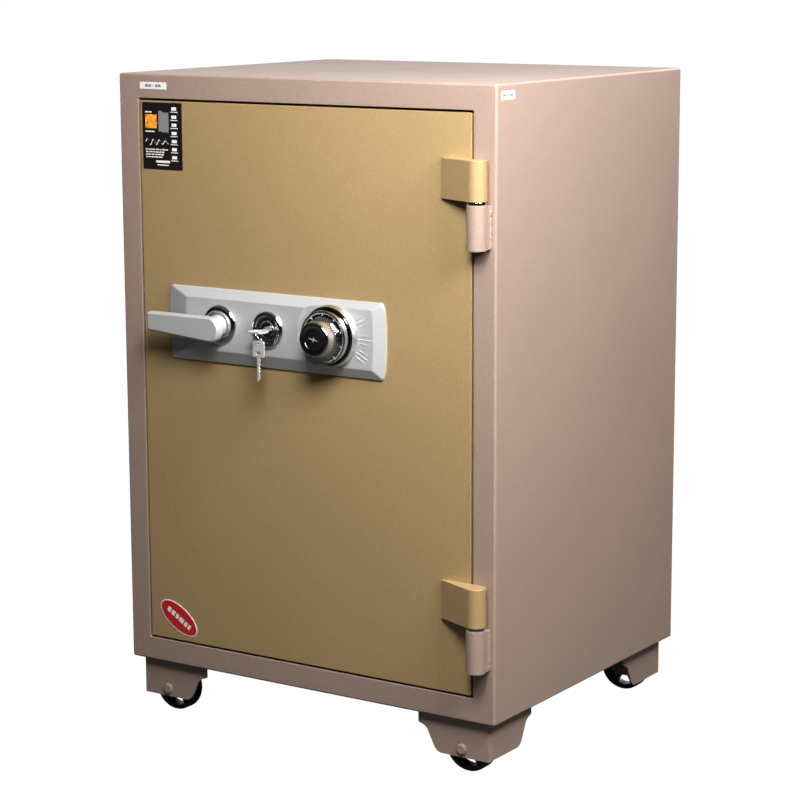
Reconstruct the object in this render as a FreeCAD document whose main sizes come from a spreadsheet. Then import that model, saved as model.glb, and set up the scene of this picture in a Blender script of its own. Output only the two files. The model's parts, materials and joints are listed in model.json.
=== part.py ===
import FreeCAD, Part
import math
import os
import re
import Sketcher

# An upright fire-resistant office safe on four fixed casters.
#
# Frame: +Z up, +X to the right of someone facing the door, the door looks along -Y. The origin is
# the middle of the footprint on the floor. Sub-parts are drawn in the cabinet's own frame, where
# x = 0 is the middle, y = 0 is the door's front face and z = 0 is the cabinet's underside, or
# about an axis of their own, and a Placement puts each one where it belongs.

DOC = FreeCAD.newDocument("office_safe")

# Driving dimensions, millimetres and degrees.
SIZES = {
    # cabinet
    "cab_width": 584,
    "cab_depth": 484,
    "cab_height": 800,
    "ground_gap": 75,
    "front_reach": 50,
    "sheet": 2,
    "frame_plate": 3,
    "corner_round": 3,
    "frame_border": 32,
    "jamb_step": 30,
    "jamb_ledge": 14,
    "jamb_depth": 98,
    "wall": 64,
    "liner_sheet": 1.5,
    "seal_thick": 2,
    "seal_width": 8,
    # interior fittings
    "lower_shelf_z": 282,
    "upper_shelf_z": 506,
    "shelf_front": 112,
    "shelf_depth": 300,
    "shelf_lip": 18,
    "shelf_gap": 4,
    "rail_front": 140,
    "rail_rear": 370,
    "rail_width": 20,
    "rail_thick": 3,
    "rail_pitch": 56,
    # door
    "door_gap": 3,
    "door_plate": 3,
    "pan_depth": 27,
    "plug_inset": 16,
    "plug_free_inset": 22,
    "plug_depth": 90,
    "fill_depth": 45,
    "cover_relief": 2,
    # boltwork
    "bolt_r": 9,
    "bolt_y": 60,
    "bolt_low": 150,
    "bolt_mid": 400,
    "bolt_high": 650,
    "bolt_length": 38,
    "socket_depth": 13,
    "socket_half": 15,
    "plate_y": 45,
    "crank_y": 47.5,
    "crank_thick": 5,
    "crank_r": 24,
    "crank_half_turn": 25,
    "crank_pin_r": 4,
    "bar_y": 53,
    "bar_thick": 4,
    "arm_bottom": 490,
    "arm_top": 512,
    "bar_throw": 20.285,
    "lock_bolt_lift": 8.485,
    "notch_depth": 10,
    "case_y": 58.5,
    "key_case_depth": 18,
    "dial_case_depth": 25,
    "case_low": 436,
    "case_height": 88,
    "tube_r": 10,
    "tube_bore": 8.5,
    # front hardware
    "lock_height": 478,
    "handle_x": -121,
    "key_x": -43,
    "dial_x": 55,
    "plate_left": -211.5,
    "plate_right": 133,
    "plate_low": 426,
    "plate_high": 524,
    "plate_lip": 2.5,
    "plate_thick": 12,
    "field_left": -177,
    "field_right": 118,
    "field_low": 438,
    "field_high": 517,
    "lever_reach": 102,
    "lever_neck_r": 14,
    "lever_hub_r": 16.5,
    "lever_drop": 3.5,
    "lever_taper": 4.6,
    "lever_back": 26.5,
    "lever_front": 38.5,
    "lever_chamfer": 2,
    "spindle_r": 7,
    "plug_face_r": 9,
    "plug_shaft_r": 5,
    "key_front": 43,
    "key_half": 12,
    "key_hole_x": 7,
    "key_thick": 2.2,
    "key_hole_y": 37,
    "ring_r": 7,
    "ring_wire_r": 0.5,
    "ring_drop": 4.9,
    "ring_lead": 5,
    "dial_spindle_r": 4.5,
    "dial_disc_r": 34.5,
    "dial_ring_r": 40,
    "dial_disc_front": 31,
    "knob_r": 26,
    "insert_r": 14,
    "pack_r": 16,
    "post_r": 7,
    "running": 0.05,
    # hinges
    "pivot_x": 273,
    "pivot_y": -14,
    "upper_leaf_z": 660,
    "lower_leaf_z": 131,
    "leaf_height": 50,
    "leaf_reach": 58,
    "leaf_angle": 23,
    "leaf_knuckle_r": 13,
    "frame_knuckle_r": 12.5,
    "frame_knuckle_height": 56,
    "washer_space": 4,
    "washer_thick": 3.7,
    "pin_r": 7,
    "pin_bite": 40,
    # casters
    "bracket_front": 10,
    "bracket_side": 14,
    "bracket_reach": 106,
    "bracket_drop": 52,
    "bracket_plate": 3,
    "flange_size": 90,
    "axle_in": 40,
    "axle_drop": 41,
    "axle_r": 4,
    "wheel_r": 34,
    "wheel_mid": 24,
    "wheel_half": 9,
    "hub_r": 9,
    "hanger_y": 37,
    "hanger_foot": 31,
    "hanger_width": 44,
    # labels
    "label_thick": 0.4,
}

SHEET = DOC.addObject("Spreadsheet::Sheet", "sizes")
for row, (alias, number) in enumerate(SIZES.items(), start=1):
    SHEET.set(f"A{row}", alias)
    SHEET.set(f"B{row}", str(number))
    SHEET.setAlias(f"B{row}", alias)
DOC.recompute()

# Formulas that several sub-parts share, in the sheet's names.
FRONT_Y = "((front_reach - cab_depth) / 2)"
HALF = "(cab_width / 2)"
OPEN_HALF = "(cab_width / 2 - frame_border)"
JAMB_HALF = "(cab_width / 2 - frame_border - jamb_ledge)"
ROOM_HALF = "(cab_width / 2 - wall)"
DOOR_HALF = "(cab_width / 2 - frame_border - door_gap)"
DOOR_LOW = "(frame_border + door_gap)"
DOOR_HIGH = "(cab_height - frame_border - door_gap)"
PLUG_LEFT = f"(plug_free_inset - {DOOR_HALF})"
PLUG_RIGHT = f"({DOOR_HALF} - plug_inset)"
PLUG_LOW = f"({DOOR_LOW} + plug_inset)"
PLUG_HIGH = f"({DOOR_HIGH} - plug_inset)"
FLANGE_X = f"({PLUG_LEFT} + bolt_length - 3)"

BOLT_HEIGHTS = ("bolt_low", "bolt_mid", "bolt_high")
PLANES = {"front": "XZ_Plane", "top": "XY_Plane", "side": "YZ_Plane"}
TURN_TO = {
    "x": FreeCAD.Rotation(FreeCAD.Vector(0, 1, 0), 90),
    "y": FreeCAD.Rotation(FreeCAD.Vector(1, 0, 0), -90),
    "z": FreeCAD.Rotation(),
}

NODES = []


# ---------------------------------------------------------------- helpers

def qualify(match):
    """Put the sheet's name before one of its aliases."""
    word = match.group(0)
    return f"sizes.{word}" if word in SIZES else word


def bind(item, prop, formula):
    """Bind a property to a formula written in the sheet's aliases."""
    item.setExpression(prop, re.sub(r"[A-Za-z_]\w*", qualify, str(formula)))


def place(item, x="0", y="0", z="0"):
    """Put a sub-part at a point given in the cabinet's frame."""
    bind(item, "Placement.Base.x", x)
    bind(item, "Placement.Base.y", f"{FRONT_Y} + {y}")
    bind(item, "Placement.Base.z", f"ground_gap + {z}")


def node(item, label):
    """Name a finished sub-part, which names its file too."""
    item.Label = label
    NODES.append(item)
    return item


def piece(label, x="0", y="0", z="0"):
    """Start a PartDesign body at a point of the cabinet's frame."""
    body = DOC.addObject("PartDesign::Body", label)
    place(body, x, y, z)
    return body


def new_body(label, x="0", y="0", z="0"):
    """Start a PartDesign body that is a sub-part by itself."""
    return node(piece(label, x, y, z), label)


def sketch(body, plane, level):
    """Attach a sketch to one of the body's origin planes, moved along that plane's axis."""
    item = body.newObject("Sketcher::SketchObject", f"{body.Name}_sketch")
    role = PLANES[plane]
    origin_plane = [part for part in body.Origin.OriginFeatures if part.Role == role][0]
    item.AttachmentSupport = [(origin_plane, "")]
    item.MapMode = "FlatFace"
    sign = "-" if plane == "front" else ""
    bind(item, "AttachmentOffset.Base.z", f"{sign}({level})")
    return item


def hold(item, kind, *where, formula):
    """Add one dimension to a sketch and bind it."""
    index = item.addConstraint(Sketcher.Constraint(kind, *where, 1.0))
    bind(item, f"Constraints[{index}]", formula)


def outline(item, points):
    """Draw a closed outline whose corners are pairs of formulas."""
    count = len(points)
    first = item.GeometryCount
    turn = 2 * math.pi / count
    angles = [turn * k + 0.3 for k in range(count)]
    corners = [FreeCAD.Vector(9 * math.cos(angle), 9 * math.sin(angle), 0) for angle in angles]
    item.addGeometry([Part.LineSegment(corners[k], corners[(k + 1) % count]) for k in range(count)], False)
    item.addConstraint(
        [Sketcher.Constraint("Coincident", first + k, 2, first + (k + 1) % count, 1) for k in range(count)]
    )
    for k, (across, along) in enumerate(points):
        hold(item, "DistanceX", -1, 1, first + k, 1, formula=across)
        hold(item, "DistanceY", -1, 1, first + k, 1, formula=along)


def rectangle(item, left, right, low, high):
    """Draw a rectangle between two pairs of formulas."""
    outline(item, [(left, low), (right, low), (right, high), (left, high)])


def circle(item, across, along, radius):
    """Draw a circle from three formulas."""
    index = item.addGeometry(Part.Circle(FreeCAD.Vector(1, 1, 0), FreeCAD.Vector(0, 0, 1), 3.0), False)
    hold(item, "DistanceX", -1, 1, index, 3, formula=across)
    hold(item, "DistanceY", -1, 1, index, 3, formula=along)
    hold(item, "Radius", index, formula=radius)


def pad(body, profile, length, plane):
    """Raise a profile towards +X, +Y or +Z."""
    feature = body.newObject("PartDesign::Pad", f"{body.Name}_pad")
    feature.Profile = profile
    bind(feature, "Length", length)
    feature.Reversed = plane == "front"
    DOC.recompute()
    return feature


def pocket(body, profile, length, plane):
    """Cut a profile towards +X, +Y or +Z and make sure that it cut something."""
    before = body.Shape.Volume
    feature = body.newObject("PartDesign::Pocket", f"{body.Name}_pocket")
    feature.Profile = profile
    bind(feature, "Length", length)
    feature.Reversed = plane != "front"
    DOC.recompute()
    if body.Shape.Volume > before - 1e-3:
        raise RuntimeError(f"{feature.Name} cuts nothing")
    return feature


def turned(body, plane, points, axis="V_Axis"):
    """Turn a closed profile, radius first for V_Axis, about the sketch's own axis."""
    profile = sketch(body, plane, "0")
    outline(profile, points)
    feature = body.newObject("PartDesign::Revolution", f"{body.Name}_turn")
    feature.Profile = profile
    feature.ReferenceAxis = (profile, [axis])
    feature.Angle = 360
    DOC.recompute()
    return feature


def edges_where(shape, test):
    """Names of the edges whose two ends and middle pass a test."""
    names = []
    for index, edge in enumerate(shape.Edges, start=1):
        middle = edge.valueAt((edge.FirstParameter + edge.LastParameter) / 2)
        points = [vertex.Point for vertex in edge.Vertexes] + [middle]
        if all(test(point) for point in points):
            names.append(f"Edge{index}")
    return names


def dress(body, kind, size_name, size, test):
    """Fillet or chamfer the edges that pass a test, given in the body's own frame."""
    names = edges_where(body.Tip.Shape, test)
    if not names:
        raise RuntimeError(f"{body.Label}: no edge to dress")
    base = body.Tip
    feature = body.newObject(f"PartDesign::{kind}", f"{body.Name}_{kind.lower()}")
    feature.Base = (base, names)
    bind(feature, size_name, size)
    DOC.recompute()
    return feature


def fillet(body, radius, test):
    """Round the edges that pass a test."""
    return dress(body, "Fillet", "Radius", radius, test)


def chamfer(body, size, test):
    """Chamfer the edges that pass a test."""
    return dress(body, "Chamfer", "Size", size, test)


def near(value, target):
    """Tell whether a coordinate sits at a target."""
    return abs(value - target) < 0.01


def block(label, x, y, z, length, width, height):
    """A Part::Box placed in the cabinet's frame."""
    item = DOC.addObject("Part::Box", label)
    bind(item, "Length", length)
    bind(item, "Width", width)
    bind(item, "Height", height)
    place(item, x, y, z)
    return item


def rod(label, axis, x, y, z, radius, length):
    """A Part::Cylinder that starts at a point of the cabinet's frame and runs along an axis."""
    item = DOC.addObject("Part::Cylinder", label)
    bind(item, "Radius", radius)
    bind(item, "Height", length)
    item.Placement = FreeCAD.Placement(FreeCAD.Vector(), TURN_TO[axis])
    place(item, x, y, z)
    return item


def group(label, pieces):
    """Several separate solids that share one node."""
    item = DOC.addObject("Part::Compound", label)
    item.Links = pieces
    return node(item, label)


def cut(label, base, tool):
    """One Part solid less another."""
    item = DOC.addObject("Part::Cut", label)
    item.Base = base
    item.Tool = tool
    return item


def flip(sign, formula):
    """A formula, or its negative."""
    return f"({formula})" if sign > 0 else f"-({formula})"


def span(sign, start, length):
    """Lower end of a stretch that starts at a distance and runs on inwards."""
    return f"({start})" if sign > 0 else f"-({start}) - ({length})"


# ---------------------------------------------------------------- cabinet

def outer_shell():
    """Folded steel wrap: both sides, top and bottom."""
    body = new_body("outer_shell")
    profile = sketch(body, "front", "frame_plate")
    rectangle(profile, f"-{HALF}", HALF, "0", "cab_height")
    pad(body, profile, "cab_depth - frame_plate - sheet", "front")
    half = SIZES["cab_width"] / 2
    top = SIZES["cab_height"]
    fillet(body, "corner_round", lambda p: near(abs(p.x), half) and (near(p.z, 0) or near(p.z, top)))
    profile = sketch(body, "front", "frame_plate")
    rectangle(profile, f"sheet - {HALF}", f"{HALF} - sheet", "sheet", "cab_height - sheet")
    pocket(body, profile, "cab_depth", "front")


def rear_panel():
    """Steel sheet that closes the back."""
    body = new_body("rear_panel")
    profile = sketch(body, "front", "cab_depth - sheet")
    rectangle(profile, f"-{HALF}", HALF, "0", "cab_height")
    pad(body, profile, "sheet", "front")
    half = SIZES["cab_width"] / 2
    top = SIZES["cab_height"]
    fillet(body, "corner_round", lambda p: near(abs(p.x), half) and (near(p.z, 0) or near(p.z, top)))
    fillet(body, "sheet * 0.6", lambda p: near(p.y, SIZES["cab_depth"]))


def frame_ring(body, level, depth, outer, inner):
    """One rectangular ring of the door frame; each border is a half width and a rise above the underside."""
    profile = sketch(body, "front", level)
    for half, rise in (outer, inner):
        rectangle(profile, f"-({half})", half, rise, f"cab_height - ({rise})")
    pad(body, profile, depth, "front")


def front_frame():
    """Front border with the stepped steel jamb that the door closes into."""
    body = new_body("front_frame")
    reveal = (OPEN_HALF, "frame_border")
    behind_reveal = (f"{OPEN_HALF} + sheet", "frame_border - sheet")
    throat = (JAMB_HALF, "frame_border + jamb_ledge")
    behind_throat = (f"{JAMB_HALF} + sheet", "frame_border + jamb_ledge - sheet")
    frame_ring(body, "0", "frame_plate", (HALF, "0"), reveal)
    frame_ring(body, "0", "jamb_step + sheet", behind_reveal, reveal)
    frame_ring(body, "jamb_step", "sheet", behind_reveal, throat)
    frame_ring(body, "jamb_step", "jamb_depth - jamb_step", behind_throat, throat)
    frame_ring(body, "jamb_depth - sheet", "sheet", behind_throat, (ROOM_HALF, "wall"))
    for left in (f"-{JAMB_HALF} - sheet - 1", f"{JAMB_HALF} - 1"):
        profile = sketch(body, "side", left)
        for height in BOLT_HEIGHTS:
            rectangle(profile, "bolt_y - socket_half + 1", "bolt_y + socket_half + 1",
                      f"{height} - socket_half + 1", f"{height} + socket_half - 1")
        pocket(body, profile, "sheet + 2", "side")
    half = SIZES["cab_width"] / 2
    top = SIZES["cab_height"]
    border = SIZES["frame_border"]
    fillet(body, "corner_round", lambda p: near(abs(p.x), half) and (near(p.z, 0) or near(p.z, top)))
    fillet(body, "2", lambda p: near(p.y, 0) and (abs(p.x) > half - 4 or p.z < 4 or p.z > top - 4))
    fillet(body, "1.5", lambda p: near(p.y, 0) and abs(p.x) < half - 20 and border - 1 < p.z < top - border + 1)


def cabinet_insulation():
    """Poured fire-resistant filling between the steel wrap, the jamb and the liner."""
    body = new_body("cabinet_insulation")
    profile = sketch(body, "front", "frame_plate")
    rectangle(profile, f"sheet - {HALF}", f"{HALF} - sheet", "sheet", "cab_height - sheet")
    pad(body, profile, "cab_depth - frame_plate - sheet", "front")
    steps = (
        ("frame_plate", "jamb_step + sheet - frame_plate", f"{OPEN_HALF} + sheet", "frame_border - sheet"),
        ("jamb_step", "jamb_depth - jamb_step", f"{JAMB_HALF} + sheet", "frame_border + jamb_ledge - sheet"),
        ("jamb_depth", "cab_depth - wall + liner_sheet - jamb_depth", f"{ROOM_HALF} + liner_sheet",
         "wall - liner_sheet"),
    )
    for level, depth, half, rise in steps:
        profile = sketch(body, "front", level)
        rectangle(profile, f"-({half})", half, rise, f"cab_height - ({rise})")
        pocket(body, profile, depth, "front")
    for left in (f"-{JAMB_HALF} - socket_depth", f"{JAMB_HALF} + sheet - 3"):
        profile = sketch(body, "side", left)
        for height in BOLT_HEIGHTS:
            rectangle(profile, "bolt_y - socket_half", "bolt_y + socket_half + 2",
                      f"{height} - socket_half", f"{height} + socket_half")
        pocket(body, profile, "socket_depth + 1" if left.startswith("-") else "socket_depth + 6", "side")


def bolt_sockets():
    """Steel cups behind the jamb that the bolts enter, three each side."""
    cups = []
    for side, sign in (("left", -1), ("right", 1)):
        depth = "(socket_depth - sheet)" if sign < 0 else "(socket_depth + 3)"
        for height in BOLT_HEIGHTS:
            name = f"{side}_{height}"
            outer = block(f"{name}_cup", span(sign, f"{JAMB_HALF} + sheet", depth), "bolt_y - socket_half",
                          f"{height} - socket_half", depth, "socket_half * 2 + 2", "socket_half * 2")
            inner = block(f"{name}_hollow", span(sign, f"{JAMB_HALF} + sheet - 1", depth), "bolt_y - socket_half + 1",
                          f"{height} - socket_half + 1", depth, "socket_half * 2", "socket_half * 2 - 2")
            cups.append(cut(f"{name}_socket", outer, inner))
    group("bolt_sockets", cups)


def inner_liner():
    """Steel box that lines the storage space."""
    body = new_body("inner_liner")
    profile = sketch(body, "front", "jamb_depth")
    rectangle(profile, f"-{ROOM_HALF} - liner_sheet", f"{ROOM_HALF} + liner_sheet", "wall - liner_sheet",
              "cab_height - wall + liner_sheet")
    pad(body, profile, "cab_depth - wall + liner_sheet - jamb_depth", "front")
    profile = sketch(body, "front", "jamb_depth")
    rectangle(profile, f"-{ROOM_HALF}", ROOM_HALF, "wall", "cab_height - wall")
    pocket(body, profile, "cab_depth - wall - jamb_depth", "front")


def door_seal():
    """Heat-swelling strip on the jamb's ledge."""
    body = new_body("door_seal")
    profile = sketch(body, "front", "jamb_step - seal_thick")
    for inset in ("2", "2 + seal_width"):
        rectangle(profile, f"{inset} - {OPEN_HALF}", f"{OPEN_HALF} - ({inset})", f"frame_border + {inset}",
                  f"cab_height - frame_border - ({inset})")
    pad(body, profile, "seal_thick", "front")


def shelf(label, height):
    """Sheet shelf with its front and rear edges folded down."""
    body = new_body(label, z=height)
    profile = sketch(body, "side", f"shelf_gap - {ROOM_HALF}")
    front = "shelf_front"
    rear = "shelf_front + shelf_depth"
    outline(profile, [
        (front, "0"), (rear, "0"), (rear, "-shelf_lip"), (f"{rear} - liner_sheet", "-shelf_lip"),
        (f"{rear} - liner_sheet", "-liner_sheet"), (f"{front} + liner_sheet", "-liner_sheet"),
        (f"{front} + liner_sheet", "-shelf_lip"), (front, "-shelf_lip"),
    ])
    pad(body, profile, f"2 * ({ROOM_HALF} - shelf_gap)", "side")


def shelf_rails():
    """Four slotted uprights on the side walls."""
    rails = []
    for column in ("rail_front", "rail_rear"):
        for side, sign in (("left", -1), ("right", 1)):
            name = f"{side}_{column}"
            body = piece(name)
            profile = sketch(body, "side", span(sign, f"{ROOM_HALF} - rail_thick", "rail_thick"))
            rectangle(profile, column, f"{column} + rail_width", "wall + 16", "cab_height - wall - 16")
            pad(body, profile, "rail_thick", "side")
            profile = sketch(body, "side", span(sign, f"{ROOM_HALF} - rail_thick - 1", "rail_thick + 2"))
            rectangle(profile, f"{column} + 8", f"{column} + 12", "wall + 34", "wall + 48")
            slot = pocket(body, profile, "rail_thick + 2", "side")
            pattern = body.newObject("PartDesign::LinearPattern", f"{name}_slots")
            pattern.Originals = [slot]
            pattern.Direction = (profile, ["V_Axis"])
            bind(pattern, "Length", "rail_pitch * 10")
            pattern.Occurrences = 11
            body.Tip = pattern
            DOC.recompute()
            rails.append(body)
    group("shelf_rails", rails)


def shelf_clips():
    """Eight clips that hook into the rails under the shelves."""
    clips = []
    for level in ("lower_shelf_z", "upper_shelf_z"):
        for column in ("rail_front", "rail_rear"):
            for sign in (-1, 1):
                name = f"clip_{level}_{column}_{'left' if sign < 0 else 'right'}"
                clips.append(block(name, span(sign, f"{ROOM_HALF} - rail_thick - 12", "12"), f"{column} + 4",
                                   f"{level} - liner_sheet - 8", "12", "12", "8"))
    group("shelf_clips", clips)


# ---------------------------------------------------------------- door

def door_outer_plate():
    """Coloured steel pan: the door's face, its edges and the ledge behind them."""
    body = new_body("door_outer_plate")
    profile = sketch(body, "front", "0")
    rectangle(profile, f"-{DOOR_HALF}", DOOR_HALF, DOOR_LOW, DOOR_HIGH)
    pad(body, profile, "pan_depth", "front")
    profile = sketch(body, "front", "door_plate")
    rectangle(profile, f"sheet - {DOOR_HALF}", f"{DOOR_HALF} - sheet",
              f"{DOOR_LOW} + sheet", f"{DOOR_HIGH} - sheet")
    pocket(body, profile, "pan_depth - door_plate - sheet", "front")
    profile = sketch(body, "front", "pan_depth - sheet - 1")
    rectangle(profile, PLUG_LEFT, PLUG_RIGHT, PLUG_LOW, PLUG_HIGH)
    pocket(body, profile, "sheet + 2", "front")
    profile = sketch(body, "front", "-1")
    for column in ("handle_x", "key_x", "dial_x"):
        circle(profile, column, "lock_height", "tube_bore")
    pocket(body, profile, "door_plate + 2", "front")
    half = SIZES["cab_width"] / 2 - SIZES["frame_border"] - SIZES["door_gap"]
    middle = SIZES["cab_height"] / 2
    reach = middle - SIZES["frame_border"] - SIZES["door_gap"]
    fillet(body, "1.5", lambda p: near(abs(p.x), half) and near(abs(p.z - middle), reach))
    fillet(body, "1", lambda p: near(p.y, 0) and (abs(p.x) > half - 2 or abs(p.z - middle) > reach - 2))


def door_insulation():
    """Fire-resistant filling of the door."""
    body = new_body("door_insulation")
    profile = sketch(body, "front", "door_plate")
    rectangle(profile, f"sheet - {DOOR_HALF}", f"{DOOR_HALF} - sheet",
              f"{DOOR_LOW} + sheet", f"{DOOR_HIGH} - sheet")
    pad(body, profile, "pan_depth - door_plate - sheet", "front")
    profile = sketch(body, "front", "pan_depth - sheet")
    rectangle(profile, f"{PLUG_LEFT} + liner_sheet", f"{PLUG_RIGHT} - liner_sheet", f"{PLUG_LOW} + liner_sheet",
              f"{PLUG_HIGH} - liner_sheet")
    pad(body, profile, "fill_depth - pan_depth + sheet", "front")
    profile = sketch(body, "front", "0")
    for column in ("handle_x", "key_x", "dial_x"):
        circle(profile, column, "lock_height", "tube_r")
    pocket(body, profile, "fill_depth + 1", "front")


def spindle_tubes():
    """Steel tubes that carry the spindles through the filling."""
    tubes = []
    for column in ("handle_x", "key_x", "dial_x"):
        outer = rod(f"tube_{column}", "y", column, "door_plate", "lock_height", "tube_r", "fill_depth - door_plate")
        inner = rod(f"tube_bore_{column}", "y", column, "0", "lock_height", "tube_bore", "fill_depth + 1")
        tubes.append(cut(f"sleeve_{column}", outer, inner))
    group("spindle_tubes", tubes)


def door_inner_cover():
    """Pan on the inside of the door that covers the boltwork, with a raised middle."""
    body = new_body("door_inner_cover")
    start = "(pan_depth - sheet)"
    profile = sketch(body, "front", start)
    rectangle(profile, PLUG_LEFT, PLUG_RIGHT, PLUG_LOW, PLUG_HIGH)
    pad(body, profile, f"plug_depth - {start}", "front")
    profile = sketch(body, "front", "plug_depth")
    rectangle(profile, f"{PLUG_LEFT} + 34", f"{PLUG_RIGHT} - 34", f"{PLUG_LOW} + 34", f"{PLUG_HIGH} - 34")
    pad(body, profile, "cover_relief", "front")
    rise = SIZES["plug_depth"] + SIZES["cover_relief"]
    chamfer(body, "cover_relief * 0.9", lambda p: near(p.y, rise))
    profile = sketch(body, "front", start)
    rectangle(profile, f"{PLUG_LEFT} + liner_sheet", f"{PLUG_RIGHT} - liner_sheet", f"{PLUG_LOW} + liner_sheet",
              f"{PLUG_HIGH} - liner_sheet")
    pocket(body, profile, f"plug_depth - liner_sheet - {start}", "front")
    for left in (f"{PLUG_LEFT} - 1", f"{PLUG_RIGHT} - liner_sheet - 1"):
        profile = sketch(body, "side", left)
        for height in BOLT_HEIGHTS:
            circle(profile, "bolt_y", height, "bolt_r + 0.4")
        pocket(body, profile, "liner_sheet + 2", "side")
    profile = sketch(body, "front", "plug_depth - liner_sheet - 1")
    for across, along in COVER_SCREWS:
        circle(profile, across, along, "2.5")
    pocket(body, profile, "liner_sheet + 2", "front")


COVER_SCREWS = [
    (across, along)
    for across in (f"{PLUG_LEFT} + 16", f"{PLUG_RIGHT} - 16")
    for along in (f"{PLUG_LOW} + 16", "cab_height / 2 - 160", "cab_height / 2 + 160", f"{PLUG_HIGH} - 16")
] + [
    (f"({PLUG_LEFT} + {PLUG_RIGHT}) / 2", along) for along in (f"{PLUG_LOW} + 16", f"{PLUG_HIGH} - 16")
]


def cover_screws():
    """Ten pan-head screws that hold the inner cover."""
    screws = []
    for index, (across, along) in enumerate(COVER_SCREWS, start=1):
        head = rod(f"cover_head_{index}", "y", across, "plug_depth", along, "4.5", "2.4")
        shank = rod(f"cover_shank_{index}", "y", across, "plug_depth - 10", along, "2.5", "10")
        screw = DOC.addObject("Part::Fuse", f"cover_screw_{index}")
        screw.Base = head
        screw.Tool = shank
        screws.append(screw)
    group("cover_screws", screws)


def lock_mounting_plate():
    """Steel plate behind the filling, with eight welded posts that carry the locks."""
    body = new_body("lock_mounting_plate")
    profile = sketch(body, "front", "plate_y")
    rectangle(profile, "handle_x - 60", "dial_x + 60", "case_low - 14", "case_low + case_height + 14")
    pad(body, profile, "sheet", "front")
    profile = sketch(body, "front", "plate_y - 1")
    for column in ("handle_x", "key_x", "dial_x"):
        circle(profile, column, "lock_height", "tube_bore")
    pocket(body, profile, "sheet + 2", "front")
    profile = sketch(body, "front", "plate_y + sheet")
    for column, half in (("key_x", "21"), ("dial_x", "27")):
        for sign in (-1, 1):
            for rise in ("6", "case_height - 6"):
                circle(profile, f"{column} + {sign} * {half}", f"case_low + {rise}", "3.5")
    pad(body, profile, "case_y - plate_y - sheet", "front")


def angle_with_holes(label, edge, foot_towards, hole_r):
    """Upright angle whose standing leg has a hole for each bolt."""
    body = new_body(label)
    foot_left = edge if foot_towards > 0 else f"{edge} + 4 - 20"
    profile = sketch(body, "front", "plate_y")
    rectangle(profile, foot_left, f"{foot_left} + 20", "bolt_low - 30", "bolt_high + 30")
    pad(body, profile, "sheet", "front")
    profile = sketch(body, "front", "plate_y")
    rectangle(profile, edge, f"{edge} + 4", "bolt_low - 30", "bolt_high + 30")
    pad(body, profile, "bolt_y + bolt_r + 4 - plate_y", "front")
    profile = sketch(body, "side", f"{edge} - 1")
    for height in BOLT_HEIGHTS:
        circle(profile, "bolt_y", height, hole_r)
    pocket(body, profile, "6", "side")


def fixed_dead_bolts():
    """Three bolts that stand out of the hinge side."""
    group("fixed_dead_bolts", [
        rod(f"dead_{height}", "x", f"{PLUG_RIGHT} - 26", "bolt_y", height, "bolt_r", "45")
        for height in BOLT_HEIGHTS
    ])


def live_bolts():
    """Three round bolts on the opening side."""
    group("live_bolts", [
        rod(f"live_{height}", "x", PLUG_LEFT, "bolt_y", height, "bolt_r", "bolt_length - 3")
        for height in BOLT_HEIGHTS
    ])


def bolt_bar():
    """Angle that carries the live bolts, with the arm that the crank and the lock bolts work on."""
    body = new_body("bolt_bar")
    profile = sketch(body, "front", "bar_y - 2")
    rectangle(profile, FLANGE_X, f"{FLANGE_X} + 4", "bolt_low - 18", "bolt_high + 18")
    pad(body, profile, "2 * bolt_r", "front")
    profile = sketch(body, "front", "bar_y")
    rectangle(profile, FLANGE_X, f"{FLANGE_X} + 14", "bolt_low - 18", "bolt_high + 18")
    pad(body, profile, "bar_thick", "front")
    profile = sketch(body, "front", "bar_y")
    rectangle(profile, FLANGE_X, "dial_x + 57", "arm_bottom", "arm_top")
    pad(body, profile, "bar_thick", "front")
    pin_x = "handle_x + crank_r * sin(crank_half_turn)"
    profile = sketch(body, "front", "bar_y - 1")
    rectangle(profile, f"{pin_x} - crank_pin_r - 0.5", f"{pin_x} + crank_pin_r + 0.5",
              "arm_bottom + 5", "arm_top - 5")
    for start in ("key_x + 3", "dial_x + 16"):
        for shift in ("0", "bar_throw"):
            rectangle(profile, f"{start} + {shift}", f"{start} + {shift} + 12", "arm_bottom - 1",
                      "arm_bottom + notch_depth")
    pocket(body, profile, "bar_thick + 2", "front")


def handle_spindle():
    """Shaft from the lever through the door, its crank arm and the pin that throws the bolt bar."""
    body = new_body("handle_spindle", x="handle_x", z="lock_height")
    start = "-plate_thick - 0.3"
    end = "crank_y + crank_thick"
    turned(body, "top", [
        ("0", start), ("spindle_r", start), ("spindle_r", "crank_y"), ("spindle_r + 4", "crank_y"),
        ("spindle_r + 4", end), ("0", end),
    ])
    pin_x = "crank_r * sin(crank_half_turn)"
    pin_z = "crank_r * cos(crank_half_turn)"
    lean_x = "cos(crank_half_turn)"
    lean_z = "sin(crank_half_turn)"
    profile = sketch(body, "front", "crank_y")
    outline(profile, [
        (f"-8 * {lean_x}", f"8 * {lean_z}"), (f"8 * {lean_x}", f"-8 * {lean_z}"),
        (f"{pin_x} + 6 * {lean_x}", f"{pin_z} - 6 * {lean_z}"),
        (f"{pin_x} - 6 * {lean_x}", f"{pin_z} + 6 * {lean_z}"),
    ])
    pad(body, profile, "crank_thick", "front")
    for radius, end in (("6", "crank_thick"), ("crank_pin_r", "bar_y + bar_thick - crank_y")):
        profile = sketch(body, "front", "crank_y")
        circle(profile, pin_x, pin_z, radius)
        pad(body, profile, end, "front")


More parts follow.
